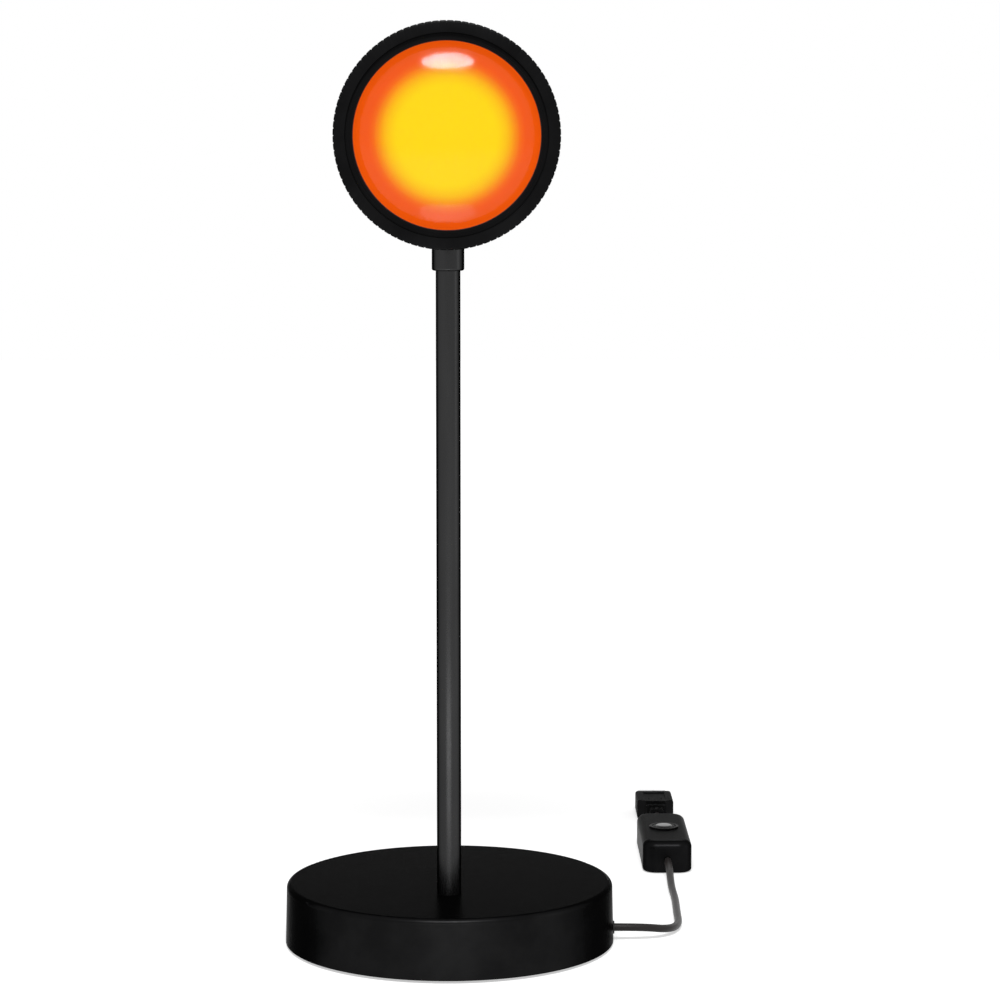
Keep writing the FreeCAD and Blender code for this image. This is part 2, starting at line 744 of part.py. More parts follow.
# Fork screwed into the collar: two ears with the tilt pivot through them.
derive("slot_wide", "lug_thick + 2 * friction_thick")
derive("ear_flat", "neck_dia - 2 * ear_cut")
tilt_fork = pole_body("tilt_fork")
spin(tilt_fork, "fork_turned", [
    ("bush_bore / 2", "spigot_low"), ("chamber_dia / 2 - fit", "spigot_low"), ("chamber_dia / 2 - fit", "collar_top"),
    ("neck_dia / 2", "collar_top"), ("neck_dia / 2", "pivot_z + ear_round"), ("bush_bore / 2", "pivot_z + ear_round")])
slot = new_sketch(tilt_fork, "fork_slot_outline", lift="slot_low")
box_outline(slot, "-slot_wide / 2", "slot_wide / 2", "-neck_dia", "neck_dia")
cut(tilt_fork, "fork_slot", slot, "3 * ear_round", onward=True)
for side, sign in (("right", ""), ("left", "-")):
    flat = new_sketch(tilt_fork, "fork_flat_outline_" + side, lift="slot_low + fork_base")
    box_outline(flat, sign + "ear_flat / 2", sign + "neck_dia", "-neck_dia", "neck_dia")
    cut(tilt_fork, "fork_flat_" + side, flat, "3 * ear_round", onward=True)
crown = new_sketch(tilt_fork, "fork_crown_outline", "YZ_Plane")
polygon(crown, [("ear_round", "pivot_z"), ("neck_dia", "pivot_z"), ("neck_dia", "pivot_z + neck_dia"),
                ("-neck_dia", "pivot_z + neck_dia"), ("-neck_dia", "pivot_z"), ("-ear_round", "pivot_z")],
        {5: ("0", "pivot_z", False, "DistanceY")})
cut(tilt_fork, "fork_crown", crown, "2 * neck_dia", both=True)
bore(tilt_fork, "fork_pivot_hole", "0", "pivot_z", "pivot_dia + 2 * fit", "2 * neck_dia", "YZ_Plane", both=True)

# Tilt pivot: a screw across the ears, its nut and two friction washers against the barrel's lug.
pivot_screw = pole_body("pivot_screw", "pivot_z", SIDEWAYS)
pan_screw(pivot_screw, "pivot_screw_turned", "pivot_dia", "pivot_head", "ear_flat / 2", "pivot_head_thick",
          "ear_flat + pivot_nut_thick")
pivot_nut = pole_body("pivot_nut", "pivot_z", SIDEWAYS)
hexagon(pivot_nut, "pivot_nut_hex", "pivot_nut_flats", "pivot_dia + 2 * fit", "-ear_flat / 2 - pivot_nut_thick",
        "pivot_nut_thick")
friction_washers = pole_body("friction_washers", "pivot_z", SIDEWAYS)
washer(friction_washers, "friction_washer_right", "pivot_dia + 2 * fit", "friction_dia",
       "lug_thick / 2", "slot_wide / 2")
washer(friction_washers, "friction_washer_left", "pivot_dia + 2 * fit", "friction_dia",
       "-slot_wide / 2", "-lug_thick / 2")

# ---- head --------------------------------------------------------------------------------------
# The ring's width sets the sleeve and the lens; its front and depth set what lies behind it.
derive("ring_bore", "ring_dia - 2 * ring_wall")
derive("sleeve_out", "ring_bore / 2 - thread_gap")
derive("sleeve_in", "sleeve_out - sleeve_wall")
derive("cell_out", "sleeve_in - slide_fit")
derive("lens_dia", "2 * (cell_out - cell_wall - slide_fit)")
derive("lens_view", "lens_dia - 2 * retainer_lip")
derive("cell_front", "ring_front - lens_recess")
derive("lens_land", "cell_front - retainer_long - gasket_thick")
derive("lens_back", "lens_land - lens_edge")
derive("filter_back", "lens_back - filter_thick")
derive("lip_back", "ring_front - ring_lip")
derive("flange_front", "lip_back - 2 * fit")
derive("flange_back", "flange_front - cell_flange")
derive("snap_front", "flange_back - 2 * fit")
derive("snap_back", "snap_front - snap_thick")
derive("sleeve_front", "snap_back - sleeve_gap")
derive("ring_back", "ring_front - ring_deep")
derive("shoulder_front", "ring_back - shoulder_gap")
derive("shoulder_back", "shoulder_front - shoulder_thick")
derive("shoulder_dia", "ring_bore + 2 * shoulder_step")
derive("cell_back", "shoulder_back + cell_gap")
derive("body_in", "barrel_dia / 2 - barrel_wall")
derive("sink_screw_spot", "body_in - sink_screw_inset")
derive("lug_round", "ear_round - lug_gap")
derive("pivot_drop", "barrel_dia / 2 + pivot_gap")

# Die-cast barrel: thin front sleeve with a key rib, shoulder, taper, rear body and the tilt lug.
barrel = head_body("barrel")
spin(barrel, "barrel_cast", [
    ("sleeve_in", "sleeve_front"), ("sleeve_out", "sleeve_front"), ("sleeve_out", "shoulder_front"),
    ("shoulder_dia / 2", "shoulder_front"), ("shoulder_dia / 2", "shoulder_back"), ("barrel_dia / 2", "taper_back"),
    ("barrel_dia / 2", "-barrel_back"), ("body_in", "-barrel_back"), ("body_in", "taper_back + taper_wall"),
    ("sleeve_in", "shoulder_back + 2 * fit")])
rib = new_sketch(barrel, "barrel_key_outline", lift="cell_back - slide_fit")
box_outline(rib, "-key_wide / 2", "key_wide / 2", "sleeve_in - key_tall", "sleeve_in + sleeve_wall / 2")
pad(barrel, "barrel_key", rib, "sleeve_front - cell_back + slide_fit")
sink_boss_plan = new_sketch(barrel, "barrel_boss_circle", lift="-sink_seat")
circle(sink_boss_plan, "sink_screw_spot", "0", "sink_boss")
one_boss = pad(barrel, "barrel_boss", sink_boss_plan, "sink_seat")
round_about(barrel, "barrel_bosses", one_boss, "3")
sink_pilot = bore(barrel, "barrel_pilot", "sink_screw_spot", "0", "sink_screw_dia + 2 * fit", "sink_pilot_deep",
                  lift="-sink_seat", onward=True)
round_about(barrel, "barrel_pilots", sink_pilot, "3")
lug_outline = new_sketch(barrel, "barrel_lug_outline", "YZ_Plane")
polygon(lug_outline, [("-pivot_drop", "-lug_round"), ("-body_in - barrel_wall / 2", "-lug_round"),
                      ("-body_in - barrel_wall / 2", "lug_round"), ("-pivot_drop", "lug_round")],
        {3: ("-pivot_drop", "0", True, "DistanceX")})
pad(barrel, "barrel_lug", lug_outline, "lug_thick", both=True)
bore(barrel, "barrel_pivot_hole", "-pivot_drop", "0", "pivot_dia + 2 * fit", "2 * lug_thick", "YZ_Plane", both=True)
bore(barrel, "barrel_lead_hole", "0", "-lead_back", "lead_dia + 8 * fit", "pivot_drop", "XZ_Plane",
     lift="body_in - barrel_wall", onward=True)

# Finned aluminium heat sink closing the barrel's back; screws reach its flange through the fins.
derive("sink_back", "-barrel_back - sink_flange")
derive("fin_back", "sink_back - fin_count * fin_pitch")
derive("sink_plug", "body_in - 2 * fit")
outline = [("0", "-sink_seat"), ("sink_plug", "-sink_seat"), ("sink_plug", "-barrel_back"),
           ("barrel_dia / 2", "-barrel_back"), ("barrel_dia / 2", "sink_back")]
for fin in range(1, fin_count + 1):
    back = "sink_back - %d * fin_pitch" % fin
    outline += [("fin_core / 2", back + " + fin_pitch"), ("fin_core / 2", back + " + fin_thick"),
                ("barrel_dia / 2", back + " + fin_thick"), ("barrel_dia / 2", back)]
outline.append(("0", "fin_back"))
heat_sink = head_body("heat_sink")
spin(heat_sink, "sink_turned", outline)
access = bore(heat_sink, "sink_access_hole", "sink_screw_spot", "0", "sink_screw_head + 2 * sink_access",
              "sink_back - fin_back", lift="fin_back", onward=True)
round_about(heat_sink, "sink_access_three", access, "3")
sink_hole = bore(heat_sink, "sink_hole", "sink_screw_spot", "0", "sink_screw_dia + 2 * fit",
                 "barrel_back + sink_flange - sink_seat", lift="sink_back", onward=True)
round_about(heat_sink, "sink_hole_three", sink_hole, "3")

# Light engine: round board, square emitter, two screws and the condenser lens in its holder.
derive("board_front", "-sink_seat + board_thick")
derive("board_dia", "2 * (sink_screw_spot - board_gap) - sink_boss")
derive("board_screw_spot", "board_dia / 2 - board_screw_inset")
derive("holder_dia", "2 * (board_screw_spot - holder_gap) - board_screw_head")
derive("holder_bore", "holder_dia - 2 * holder_wall")
derive("condenser_dia", "holder_dia - 2 * holder_rim")
derive("emitter_half", "(holder_bore / 2 - emitter_gap) * cos(45)")
derive("holder_front", "board_front + holder_tall")
derive("holder_seat", "holder_front - holder_recess")
board_pilot = bore(heat_sink, "sink_board_hole", "board_screw_spot", "0", "board_screw_dia + 2 * fit",
                   "board_pilot_deep", lift="-sink_seat")
round_about(heat_sink, "sink_board_holes", board_pilot, "2")

heat_sink_screws = head_body("heat_sink_screws")
sink_screw = spin(heat_sink_screws, "sink_screw", [
    ("0", "sink_back - sink_screw_head_thick"), ("sink_screw_head / 2", "sink_back - sink_screw_head_thick"),
    ("sink_screw_head / 2", "sink_back"), ("sink_screw_dia / 2", "sink_back"),
    ("sink_screw_dia / 2", "-sink_seat + sink_screw_grip"), ("0", "-sink_seat + sink_screw_grip")],
    "sink_screw_spot")
round_about(heat_sink_screws, "sink_screws_three", sink_screw, "3")

led_board = head_body("led_board")
spin(led_board, "board_disc", [("0", "-sink_seat"), ("board_dia / 2", "-sink_seat"),
                               ("board_dia / 2", "board_front"), ("0", "board_front")])
board_hole = bore(led_board, "board_hole", "board_screw_spot", "0", "board_screw_dia + 2 * fit", "board_thick",
                  lift="-sink_seat", onward=True)
round_about(led_board, "board_holes", board_hole, "2")
board_screws = head_body("board_screws")
board_screw = pan_screw(board_screws, "board_screw", "board_screw_dia", "board_screw_head", "board_front",
                        "board_screw_head_thick", "board_screw_long", "board_screw_spot")
round_about(board_screws, "board_screws_two", board_screw, "2")
led_emitter = head_body("led_emitter")
emitter_plan = new_sketch(led_emitter, "emitter_plan", lift="board_front")
box_outline(emitter_plan, "-emitter_half", "emitter_half", "-emitter_half", "emitter_half")
pad(led_emitter, "emitter_block", emitter_plan, "emitter_thick")
condenser_holder = head_body("condenser_holder")
spin(condenser_holder, "holder_turned", [
    ("holder_bore / 2", "board_front"), ("holder_dia / 2", "board_front"), ("holder_dia / 2", "holder_front"),
    ("condenser_dia / 2 + fit", "holder_front"), ("condenser_dia / 2 + fit", "holder_seat"),
    ("holder_bore / 2", "holder_seat")])
condenser_lens = head_body("condenser_lens")
domed(condenser_lens, "condenser_ground", "condenser_dia / 2", "holder_seat", "holder_seat + condenser_edge",
      "condenser_dia / 2 - condenser_land", "condenser_sag")

# Lead from the board down through the lug beside the pivot.
derive("lead_on_board", "-board_front - lead_dia / 2 - pole_forward")
derive("lead_in_lug", "lead_back - pole_forward")
head_lead = routed("head_lead", [
    ("0", "lead_on_board", "head_height - 10.5"), ("0", "lead_on_board", "head_height - 17.5"),
    ("0", "lead_in_lug", "head_height - 21.5"), ("0", "lead_in_lug", "pivot_z - lead_back")], "lead_dia")

# ---- lens cell, slides in the sleeve -----------------------------------------------------------
derive("cell_in", "lens_dia / 2 + slide_fit")
lens_carrier = head_body("lens_carrier")
spin(lens_carrier, "carrier_turned", [
    ("cell_in", "cell_front"), ("cell_out", "cell_front"), ("cell_out", "flange_front"),
    ("sleeve_out", "flange_front"), ("sleeve_out", "flange_back"), ("cell_out", "flange_back"),
    ("cell_out", "cell_back"), ("cell_in - cell_step", "cell_back"),
    ("cell_in - cell_step", "filter_back - filter_ledge_thick"),
    ("cell_in - cell_step - filter_ledge", "filter_back - filter_ledge_thick"),
    ("cell_in - cell_step - filter_ledge", "filter_back"), ("cell_in", "filter_back")])
keyway = new_sketch(lens_carrier, "carrier_keyway_outline", lift="cell_back")
box_outline(keyway, "-key_wide / 2 - slide_fit", "key_wide / 2 + slide_fit", "sleeve_in - key_tall - slide_fit",
            "sleeve_in + sleeve_wall / 2")
cut(lens_carrier, "carrier_keyway", keyway, "snap_back - cell_back", onward=True)

# Coloured disc that gives the sunset, then the big front lens, its gasket and the threaded retainer.
colour_filter = head_body("colour_filter")
spin(colour_filter, "filter_disc", [("0", "filter_back"), ("lens_dia / 2", "filter_back"),
                                    ("lens_dia / 2", "lens_back"), ("0", "lens_back")])
front_lens = head_body("front_lens")
domed(front_lens, "front_lens_ground", "lens_dia / 2", "lens_back", "lens_land", "lens_view / 2 - 2 * slide_fit",
      "lens_sag")
lens_gasket = head_body("lens_gasket")
washer(lens_gasket, "gasket_ring", "lens_view - 2 * slide_fit", "lens_dia", "lens_land", "lens_land + gasket_thick")
lens_retainer = head_body("lens_retainer")
washer(lens_retainer, "retainer_ring", "lens_view", "lens_dia + 6 * fit", "lens_land + gasket_thick", "cell_front")

# ---- focus ring --------------------------------------------------------------------------------
# Knurled ring over the sleeve: scallops all round, a lip in front and a groove for the snap ring.
focus_ring = head_body("focus_ring")
spin(focus_ring, "ring_turned", [
    ("cell_out + 2 * fit", "ring_front"), ("ring_dia / 2 - ring_bevel", "ring_front"),
    ("ring_dia / 2", "ring_front - ring_bevel"), ("ring_dia / 2", "ring_back + ring_bevel"),
    ("ring_dia / 2 - ring_bevel", "ring_back"), ("ring_bore / 2", "ring_back"), ("ring_bore / 2", "snap_back - fit"),
    ("ring_bore / 2 + snap_groove", "snap_back - fit"), ("ring_bore / 2 + snap_groove", "snap_front + fit"),
    ("ring_bore / 2", "snap_front + fit"), ("ring_bore / 2", "lip_back"), ("cell_out + 2 * fit", "lip_back")])
scallop = bore(focus_ring, "ring_scallop", "ring_dia / 2 + knurl_cutter / 2 - knurl_deep", "0", "knurl_cutter",
               "ring_deep", lift="ring_back", onward=True)
round_about(focus_ring, "ring_knurl", scallop, "knurl_count")
snap_ring = head_body("snap_ring")
washer(snap_ring, "snap_ring_disc", "2 * cell_out + 8 * fit", "ring_bore + 2 * snap_groove - 2 * fit",
       "snap_back", "snap_front")
snap_gap = new_sketch(snap_ring, "snap_gap_outline", lift="snap_back")
box_outline(snap_gap, "-snap_mouth / 2", "snap_mouth / 2", "-ring_dia / 2", "-lens_view / 2")
cut(snap_ring, "snap_gap", snap_gap, "snap_thick", onward=True)

# ---- cord, laid on the floor -------------------------------------------------------------------
# From the grommet it sinks to the floor, curves away to the back and rises into the switch.
derive("floor_z", "cord_dia / 2")
derive("switch_end", "switch_start + switch_long")
derive("plug_x", "switch_x + plug_aside")
derive("plug_start", "switch_end + cord_between")
cord_lower = routed("cord_lower", [
    ("grommet_face", "0", "cord_exit"), ("base_dia / 2 + 11", "0", "cord_exit"),
    ("base_dia / 2 + 20", "5.5", "cord_exit - 2.2"), ("base_dia / 2 + 24.6", "17", "floor_z"),
    ("switch_x - 0.6", "36", "floor_z"), ("switch_x + 0.1", "58", "floor_z"), ("switch_x - 0.3", "76", "floor_z"),
    ("switch_x - 0.1", "switch_start - 12", "switch_split"), ("switch_x", "switch_start", "switch_split")],
    "cord_dia")
cord_upper = routed("cord_upper", [
    ("switch_x", "switch_end", "switch_split"), ("switch_x + 0.1", "switch_end + 9.5", "switch_split - 0.1"),
    ("plug_x - 0.1", "plug_start - 10.5", "plug_axis"), ("plug_x", "plug_start", "plug_axis")], "cord_dia")

# ---- in-line switch ----------------------------------------------------------------------------
# Two pillow-shaped half shells with the cord entering at the split, a round push button on top.
# Its height is the sum of what is stacked in it.
derive("inner_wide", "switch_wide - 2 * switch_wall")
derive("inner_long", "switch_long - 2 * switch_wall")
derive("board_low", "switch_wall + ledge_tall")
derive("block_low", "board_low + switch_board_thick")
derive("block_top", "block_low + latch_tall")
derive("flange_floor", "block_top + plunger_tall + plunger_gap + button_travel")
derive("sleeve_low", "flange_floor + button_flange_thick")
derive("switch_tall", "sleeve_low + bezel_sleeve")
derive("bezel_top", "switch_tall + bezel_rise")
derive("bezel_neck", "bezel_dia - 2 * bezel_step")
derive("post_dia", "switch_screw_dia + 2 * fit + 2 * switch_post_wall")
screw_spots = (("first", "switch_screw_across", "switch_screw_along"),
               ("second", "-switch_screw_across", "-switch_screw_along"))


def switch_body(label):
    """A body of the switch, its origin on the floor under the button."""
    return new_body(label, x="switch_x", y="switch_start + switch_long / 2")


def level_rim(edge, height):
    """True for an edge of the switch's outer outline at this height."""
    box = edge.BoundBox
    flat = near(box.ZMin, height) and near(box.ZMax, height)
    far = max(abs(box.XMin), abs(box.XMax)) > value("switch_wide / 2 - switch_corner") - 1e-6
    out = max(abs(box.YMin), abs(box.YMax)) > value("switch_long / 2 - switch_corner") - 1e-6
    return flat and far and out


def half_shell(label, low, tall, rim, edge_radius, well_low):
    """One half of the switch's case: a rounded block with a soft rim, hollowed between its walls."""
    body = switch_body(label)
    plan = new_sketch(body, label + "_plan", lift=low)
    rounded_box(plan, "switch_wide", "switch_long", "switch_corner")
    block = pad(body, label + "_block", plan, tall)
    soften(body, label + "_edge", block, lambda edge: level_rim(edge, rim), edge_radius)
    well = new_sketch(body, label + "_well_plan", lift=well_low)
    rounded_box(well, "inner_wide", "inner_long", "switch_corner - switch_wall")
    cut(body, label + "_well", well, "%s - switch_wall" % tall, onward=True)
    return body


def cord_way(body, label):
    """Half a round way for the cord at both ends of a half shell."""
    bore(body, label, "0", "switch_split", "cord_dia + 2 * fit", "2 * switch_long", "XZ_Plane", both=True)


switch_base = half_shell("switch_base", "0", "switch_split", "0", "switch_base_edge", "switch_wall")
for side, sign in (("far", ""), ("near", "-")):
    ledge = new_sketch(switch_base, "switch_ledge_plan_" + side, lift="switch_wall / 2")
    box_outline(ledge, "-inner_wide / 2", "inner_wide / 2",
                sign + "ledge_spot - ledge_wide / 2", sign + "ledge_spot + ledge_wide / 2")
    pad(switch_base, "switch_ledge_" + side, ledge, "board_low - switch_wall / 2")
for order, across, along in screw_spots:
    post = new_sketch(switch_base, "switch_post_plan_" + order, lift="switch_wall / 2")
    circle(post, across, along, "post_dia")
    pad(switch_base, "switch_post_" + order, post, "switch_split - switch_wall / 2")
    bore(switch_base, "switch_post_hole_" + order, across, along, "switch_screw_dia + 2 * fit", "switch_split",
         onward=True)
    bore(switch_base, "switch_post_sink_" + order, across, along, "switch_screw_head + 4 * fit",
         "switch_screw_sunk + switch_screw_head_thick", onward=True)
cord_way(switch_base, "switch_base_cord_way")

switch_cover = half_shell("switch_cover", "switch_split", "switch_tall - switch_split", "switch_tall",
                          "switch_cover_edge", "switch_split")
derive("screw_top", "switch_screw_sunk + switch_screw_head_thick + switch_screw_long")
for order, across, along in screw_spots:
    post = new_sketch(switch_cover, "cover_post_plan_" + order, lift="switch_split")
    circle(post, across, along, "post_dia")
    pad(switch_cover, "cover_post_" + order, post, "switch_tall - switch_split - switch_wall / 2")
    bore(switch_cover, "cover_post_hole_" + order, across, along, "switch_screw_dia + 2 * fit",
         "screw_top - switch_split + thread_gap", lift="switch_split", onward=True)
bore(switch_cover, "switch_button_hole", "0", "0", "bezel_neck + 2 * fit", "2 * switch_wall",
     lift="switch_tall", both=True)
cord_way(switch_cover, "switch_cover_cord_way")

# Board with the latching contact block, the return spring, the bezel and the button that travels.
switch_board = switch_body("switch_board")
switch_board_plan = new_sketch(switch_board, "switch_board_plan", lift="board_low")
box_outline(switch_board_plan, "-switch_board_wide / 2", "switch_board_wide / 2",
            "-switch_board_long / 2", "switch_board_long / 2")
pad(switch_board, "switch_board_sheet", switch_board_plan, "switch_board_thick")
latch_block = switch_body("latch_block")
latch_plan = new_sketch(latch_block, "latch_plan", lift="block_low")
box_outline(latch_plan, "-latch_side / 2", "latch_side / 2", "-latch_side / 2", "latch_side / 2")
pad(latch_block, "latch_case", latch_plan, "latch_tall")
plunger_plan = new_sketch(latch_block, "latch_plunger_plan", lift="block_top")
circle(plunger_plan, "0", "0", "plunger_dia")
pad(latch_block, "latch_plunger", plunger_plan, "plunger_tall")
switch_bezel = switch_body("switch_bezel")
spin(switch_bezel, "bezel_turned", [
    ("button_dia / 2 + 3 * fit", "sleeve_low"), ("bezel_neck / 2", "sleeve_low"), ("bezel_neck / 2", "switch_tall"),
    ("bezel_dia / 2", "switch_tall"), ("bezel_dia / 2", "bezel_top - bezel_groove_deep"),
    ("bezel_dia / 2 - bezel_groove_deep", "bezel_top"), ("(bezel_groove + bezel_groove_wide) / 2", "bezel_top"),
    ("(bezel_groove + bezel_groove_wide) / 2", "bezel_top - bezel_groove_deep"),
    ("(bezel_groove - bezel_groove_wide) / 2", "bezel_top - bezel_groove_deep"),
    ("(bezel_groove - bezel_groove_wide) / 2", "bezel_top"), ("button_dia / 2 + 3 * fit", "bezel_top")])
switch_button = switch_body("switch_button")
spin(switch_button, "button_turned", [
    ("0", "flange_floor"), ("button_flange / 2", "flange_floor"), ("button_flange / 2", "sleeve_low"),
    ("button_dia / 2", "sleeve_low"), ("button_dia / 2", "bezel_top"),
    ("button_dia / 2 - button_edge", "bezel_top + button_rise - 2 * fit"), ("0", "bezel_top + button_rise")])
switch_screws = switch_body("switch_screws")
for order, across, along in screw_spots:
    head_plan = new_sketch(switch_screws, "switch_screw_head_plan_" + order, lift="switch_screw_sunk")
    circle(head_plan, across, along, "switch_screw_head")
    pad(switch_screws, "switch_screw_head_" + order, head_plan, "switch_screw_head_thick")
    shank_plan = new_sketch(switch_screws, "switch_screw_shank_plan_" + order, lift="switch_screw_sunk")
    circle(shank_plan, across, along, "switch_screw_dia")
    pad(switch_screws, "switch_screw_shank_" + order, shank_plan, "screw_top - switch_screw_sunk")
switch_spring = coil_spring("switch_spring", "switch_x", "switch_start + switch_long / 2", "block_top", "flange_floor",
                            "spring_dia / 2", "spring_wire", "spring_turns")

# ---- plug --------------------------------------------------------------------------------------
# Local frame: the cord enters at the origin along +Y, the plug's mid plane is Z = 0.
derive("neck_end", "relief_long + plug_neck_long")
derive("body_start", "neck_end + plug_taper_long")
derive("body_end", "body_start + plug_long")
derive("shell_start", "body_end - shell_in")
derive("shell_end", "body_end + shell_out")
derive("shell_inside", "shell_wide / 2 - shell_wall")
derive("shell_floor", "-shell_thick / 2 + shell_wall")
derive("tongue_top", "shell_floor + tongue_thick")


def plug_body_at(label):
    """A body of the plug, its origin where the cord enters the strain relief."""
    return new_body(label, x="plug_x", y="plug_start", z="plug_axis")


def across_plug(body, name, along, left, right, low, high):
    """A rectangle standing across the plug at a distance along it."""
    sketch = new_sketch(body, name, "XZ_Plane", "-(%s)" % along)
    box_outline(sketch, left, right, low, high)
    return sketch


def pad_onward(body, name, sketch, length):
    """Push a sketch that stands across the plug out towards its mouth."""
    feature = pad(body, name, sketch, length)
    feature.Reversed = True
    return feature


# Strain relief: a tapered block with two rows of windows.
plug_relief = plug_body_at("plug_relief")
relief_plan = new_sketch(plug_relief, "relief_plan", lift="-relief_narrow / 2")
polygon(relief_plan, [("-relief_narrow / 2", "0"), ("relief_narrow / 2", "0"), ("relief_wide / 2", "relief_long"),
                      ("-relief_wide / 2", "relief_long")])
relief_block = pad(plug_relief, "relief_block", relief_plan, "relief_narrow")
soften(plug_relief, "relief_edges", relief_block,
       lambda edge: edge.BoundBox.YLength > value("relief_long") - 1e-4, "relief_edge")
for row in range(2):
    for side, sign in (("left", "-"), ("right", "")):
        window = new_sketch(plug_relief, "relief_window_plan_%s%d" % (side, row), lift="relief_narrow / 2")
        low = "relief_window_first + %d * relief_window_pitch" % row
        middle = sign + "relief_window_aside"
        box_outline(window, middle + " - relief_window_wide / 2", middle + " + relief_window_wide / 2",
                    low, low + " + relief_window_tall")
        cut(plug_relief, "relief_window_%s%d" % (side, row), window, "relief_window_deep")

# Moulded body: neck, taper and grip, with a sunk panel, two dimples and the socket of the shell.
plug_body = plug_body_at("plug_body")
neck_plan = new_sketch(plug_body, "plug_neck_plan", lift="-plug_neck_thick / 2")
box_outline(neck_plan, "-plug_neck_wide / 2", "plug_neck_wide / 2", "relief_long", "neck_end + plug_taper_long / 2")
pad(plug_body, "plug_neck", neck_plan, "plug_neck_thick")
body_plan = new_sketch(plug_body, "plug_body_plan", lift="-plug_thick / 2")
polygon(body_plan, [("-plug_neck_wide / 2", "neck_end"), ("plug_neck_wide / 2", "neck_end"),
                    ("plug_wide / 2", "body_start"), ("plug_wide / 2", "body_end"),
                    ("-plug_wide / 2", "body_end"), ("-plug_wide / 2", "body_start")])
body_block = pad(plug_body, "plug_block", body_plan, "plug_thick")
soften(plug_body, "plug_edges", body_block,
       lambda edge: near(abs(edge.BoundBox.Center.z), "plug_thick / 2")
       and near(abs(edge.BoundBox.Center.x), "plug_wide / 2"), "plug_edge")
panel = new_sketch(plug_body, "plug_panel_plan", lift="plug_thick / 2")
box_outline(panel, "-panel_wide / 2", "panel_wide / 2", "body_end - panel_far", "body_end - panel_near")
cut(plug_body, "plug_panel", panel, "panel_deep")
for side, sign in (("left", "-"), ("right", "")):
    bore(plug_body, "plug_dimple_" + side, sign + "dimple_aside", "body_end - dimple_back", "dimple_dia",
         "dimple_deep", lift="plug_thick / 2")
socket = across_plug(plug_body, "plug_socket_outline", "body_end", "-shell_wide / 2", "shell_wide / 2",
                     "-shell_thick / 2", "shell_thick / 2")
cut(plug_body, "plug_socket", socket, "shell_in", onward=True)

# Folded steel shell with two windows and a dovetail seam that steps aside twice.
plug_shell = plug_body_at("plug_shell")
shell_outline = across_plug(plug_shell, "shell_outline", "shell_start", "-shell_wide / 2", "shell_wide / 2",
                            "-shell_thick / 2", "shell_thick / 2")
shell_block = pad_onward(plug_shell, "shell_block", shell_outline, "shell_in + shell_out")
soften(plug_shell, "shell_edges", shell_block,
       lambda edge: near(edge.BoundBox.YLength, "shell_in + shell_out"), "shell_edge")
hollow = across_plug(plug_shell, "shell_hollow_outline", "shell_start", "-shell_inside", "shell_inside",
                     "shell_floor", "-shell_floor")
cut(plug_shell, "shell_hollow", hollow, "shell_in + shell_out")
for side, sign in (("left", "-"), ("right", "")):
    window = new_sketch(plug_shell, "shell_window_plan_" + side, lift="shell_thick / 2")
    middle = sign + "shell_window_aside"
    box_outline(window, middle + " - shell_window_wide / 2", middle + " + shell_window_wide / 2",
                "shell_end - shell_window_far", "shell_end - shell_window_near")
    cut(plug_shell, "shell_window_" + side, window, "2 * shell_wall")
# Each mark of the seam: how far aside, how far from the mouth, and which way its left edge is shifted.
seam_marks = [("0", "0", 0), ("0", "seam_jog_first", -1), ("seam_jog", "seam_jog_first", -1),
              ("seam_jog", "seam_jog_first_end", 1), ("0", "seam_jog_first_end", 1),
              ("0", "seam_jog_second", -1), ("seam_jog", "seam_jog_second", -1),
              ("seam_jog", "seam_jog_second_end", 1), ("0", "seam_jog_second_end", 1),
              ("0", "shell_in + shell_out", 0)]
seam_left = [("%s - seam_wide / 2" % aside, "shell_end - (%s) + %d * seam_wide / 2" % (back, shift))
             for aside, back, shift in seam_marks]
seam_right = [("%s + seam_wide / 2" % aside, "shell_end - (%s) - %d * seam_wide / 2" % (back, shift))
              for aside, back, shift in seam_marks]
seam = new_sketch(plug_shell, "shell_seam_plan", lift="shell_thick / 2")
polygon(seam, seam_left + seam_right[::-1])
cut(plug_shell, "shell_seam", seam, "shell_wall / 2")

# Plastic tongue behind the mouth and its four contacts.
plug_tongue = plug_body_at("plug_tongue")
tongue_back = across_plug(plug_tongue, "tongue_back_outline", "shell_start", "-shell_inside", "shell_inside",
                          "shell_floor", "-shell_floor")
pad_onward(plug_tongue, "tongue_back", tongue_back, "shell_in - tongue_recess")
tongue_outline = across_plug(plug_tongue, "tongue_outline", "shell_start", "-shell_inside", "shell_inside",
                             "shell_floor", "tongue_top")
pad_onward(plug_tongue, "tongue_front", tongue_outline, "shell_in + shell_out - tongue_recess")
plug_contacts = plug_body_at("plug_contacts")
for name, across in (("left_outer", "-contact_outer / 2"), ("left_inner", "-contact_inner / 2"),
                     ("right_inner", "contact_inner / 2"), ("right_outer", "contact_outer / 2")):
    strip = new_sketch(plug_contacts, "contact_plan_" + name, lift="tongue_top")
    box_outline(strip, across + " - contact_wide / 2", across + " + contact_wide / 2",
                "body_end - tongue_recess", "shell_end - contact_recess")
    pad(plug_contacts, "contact_" + name, strip, "contact_thick")

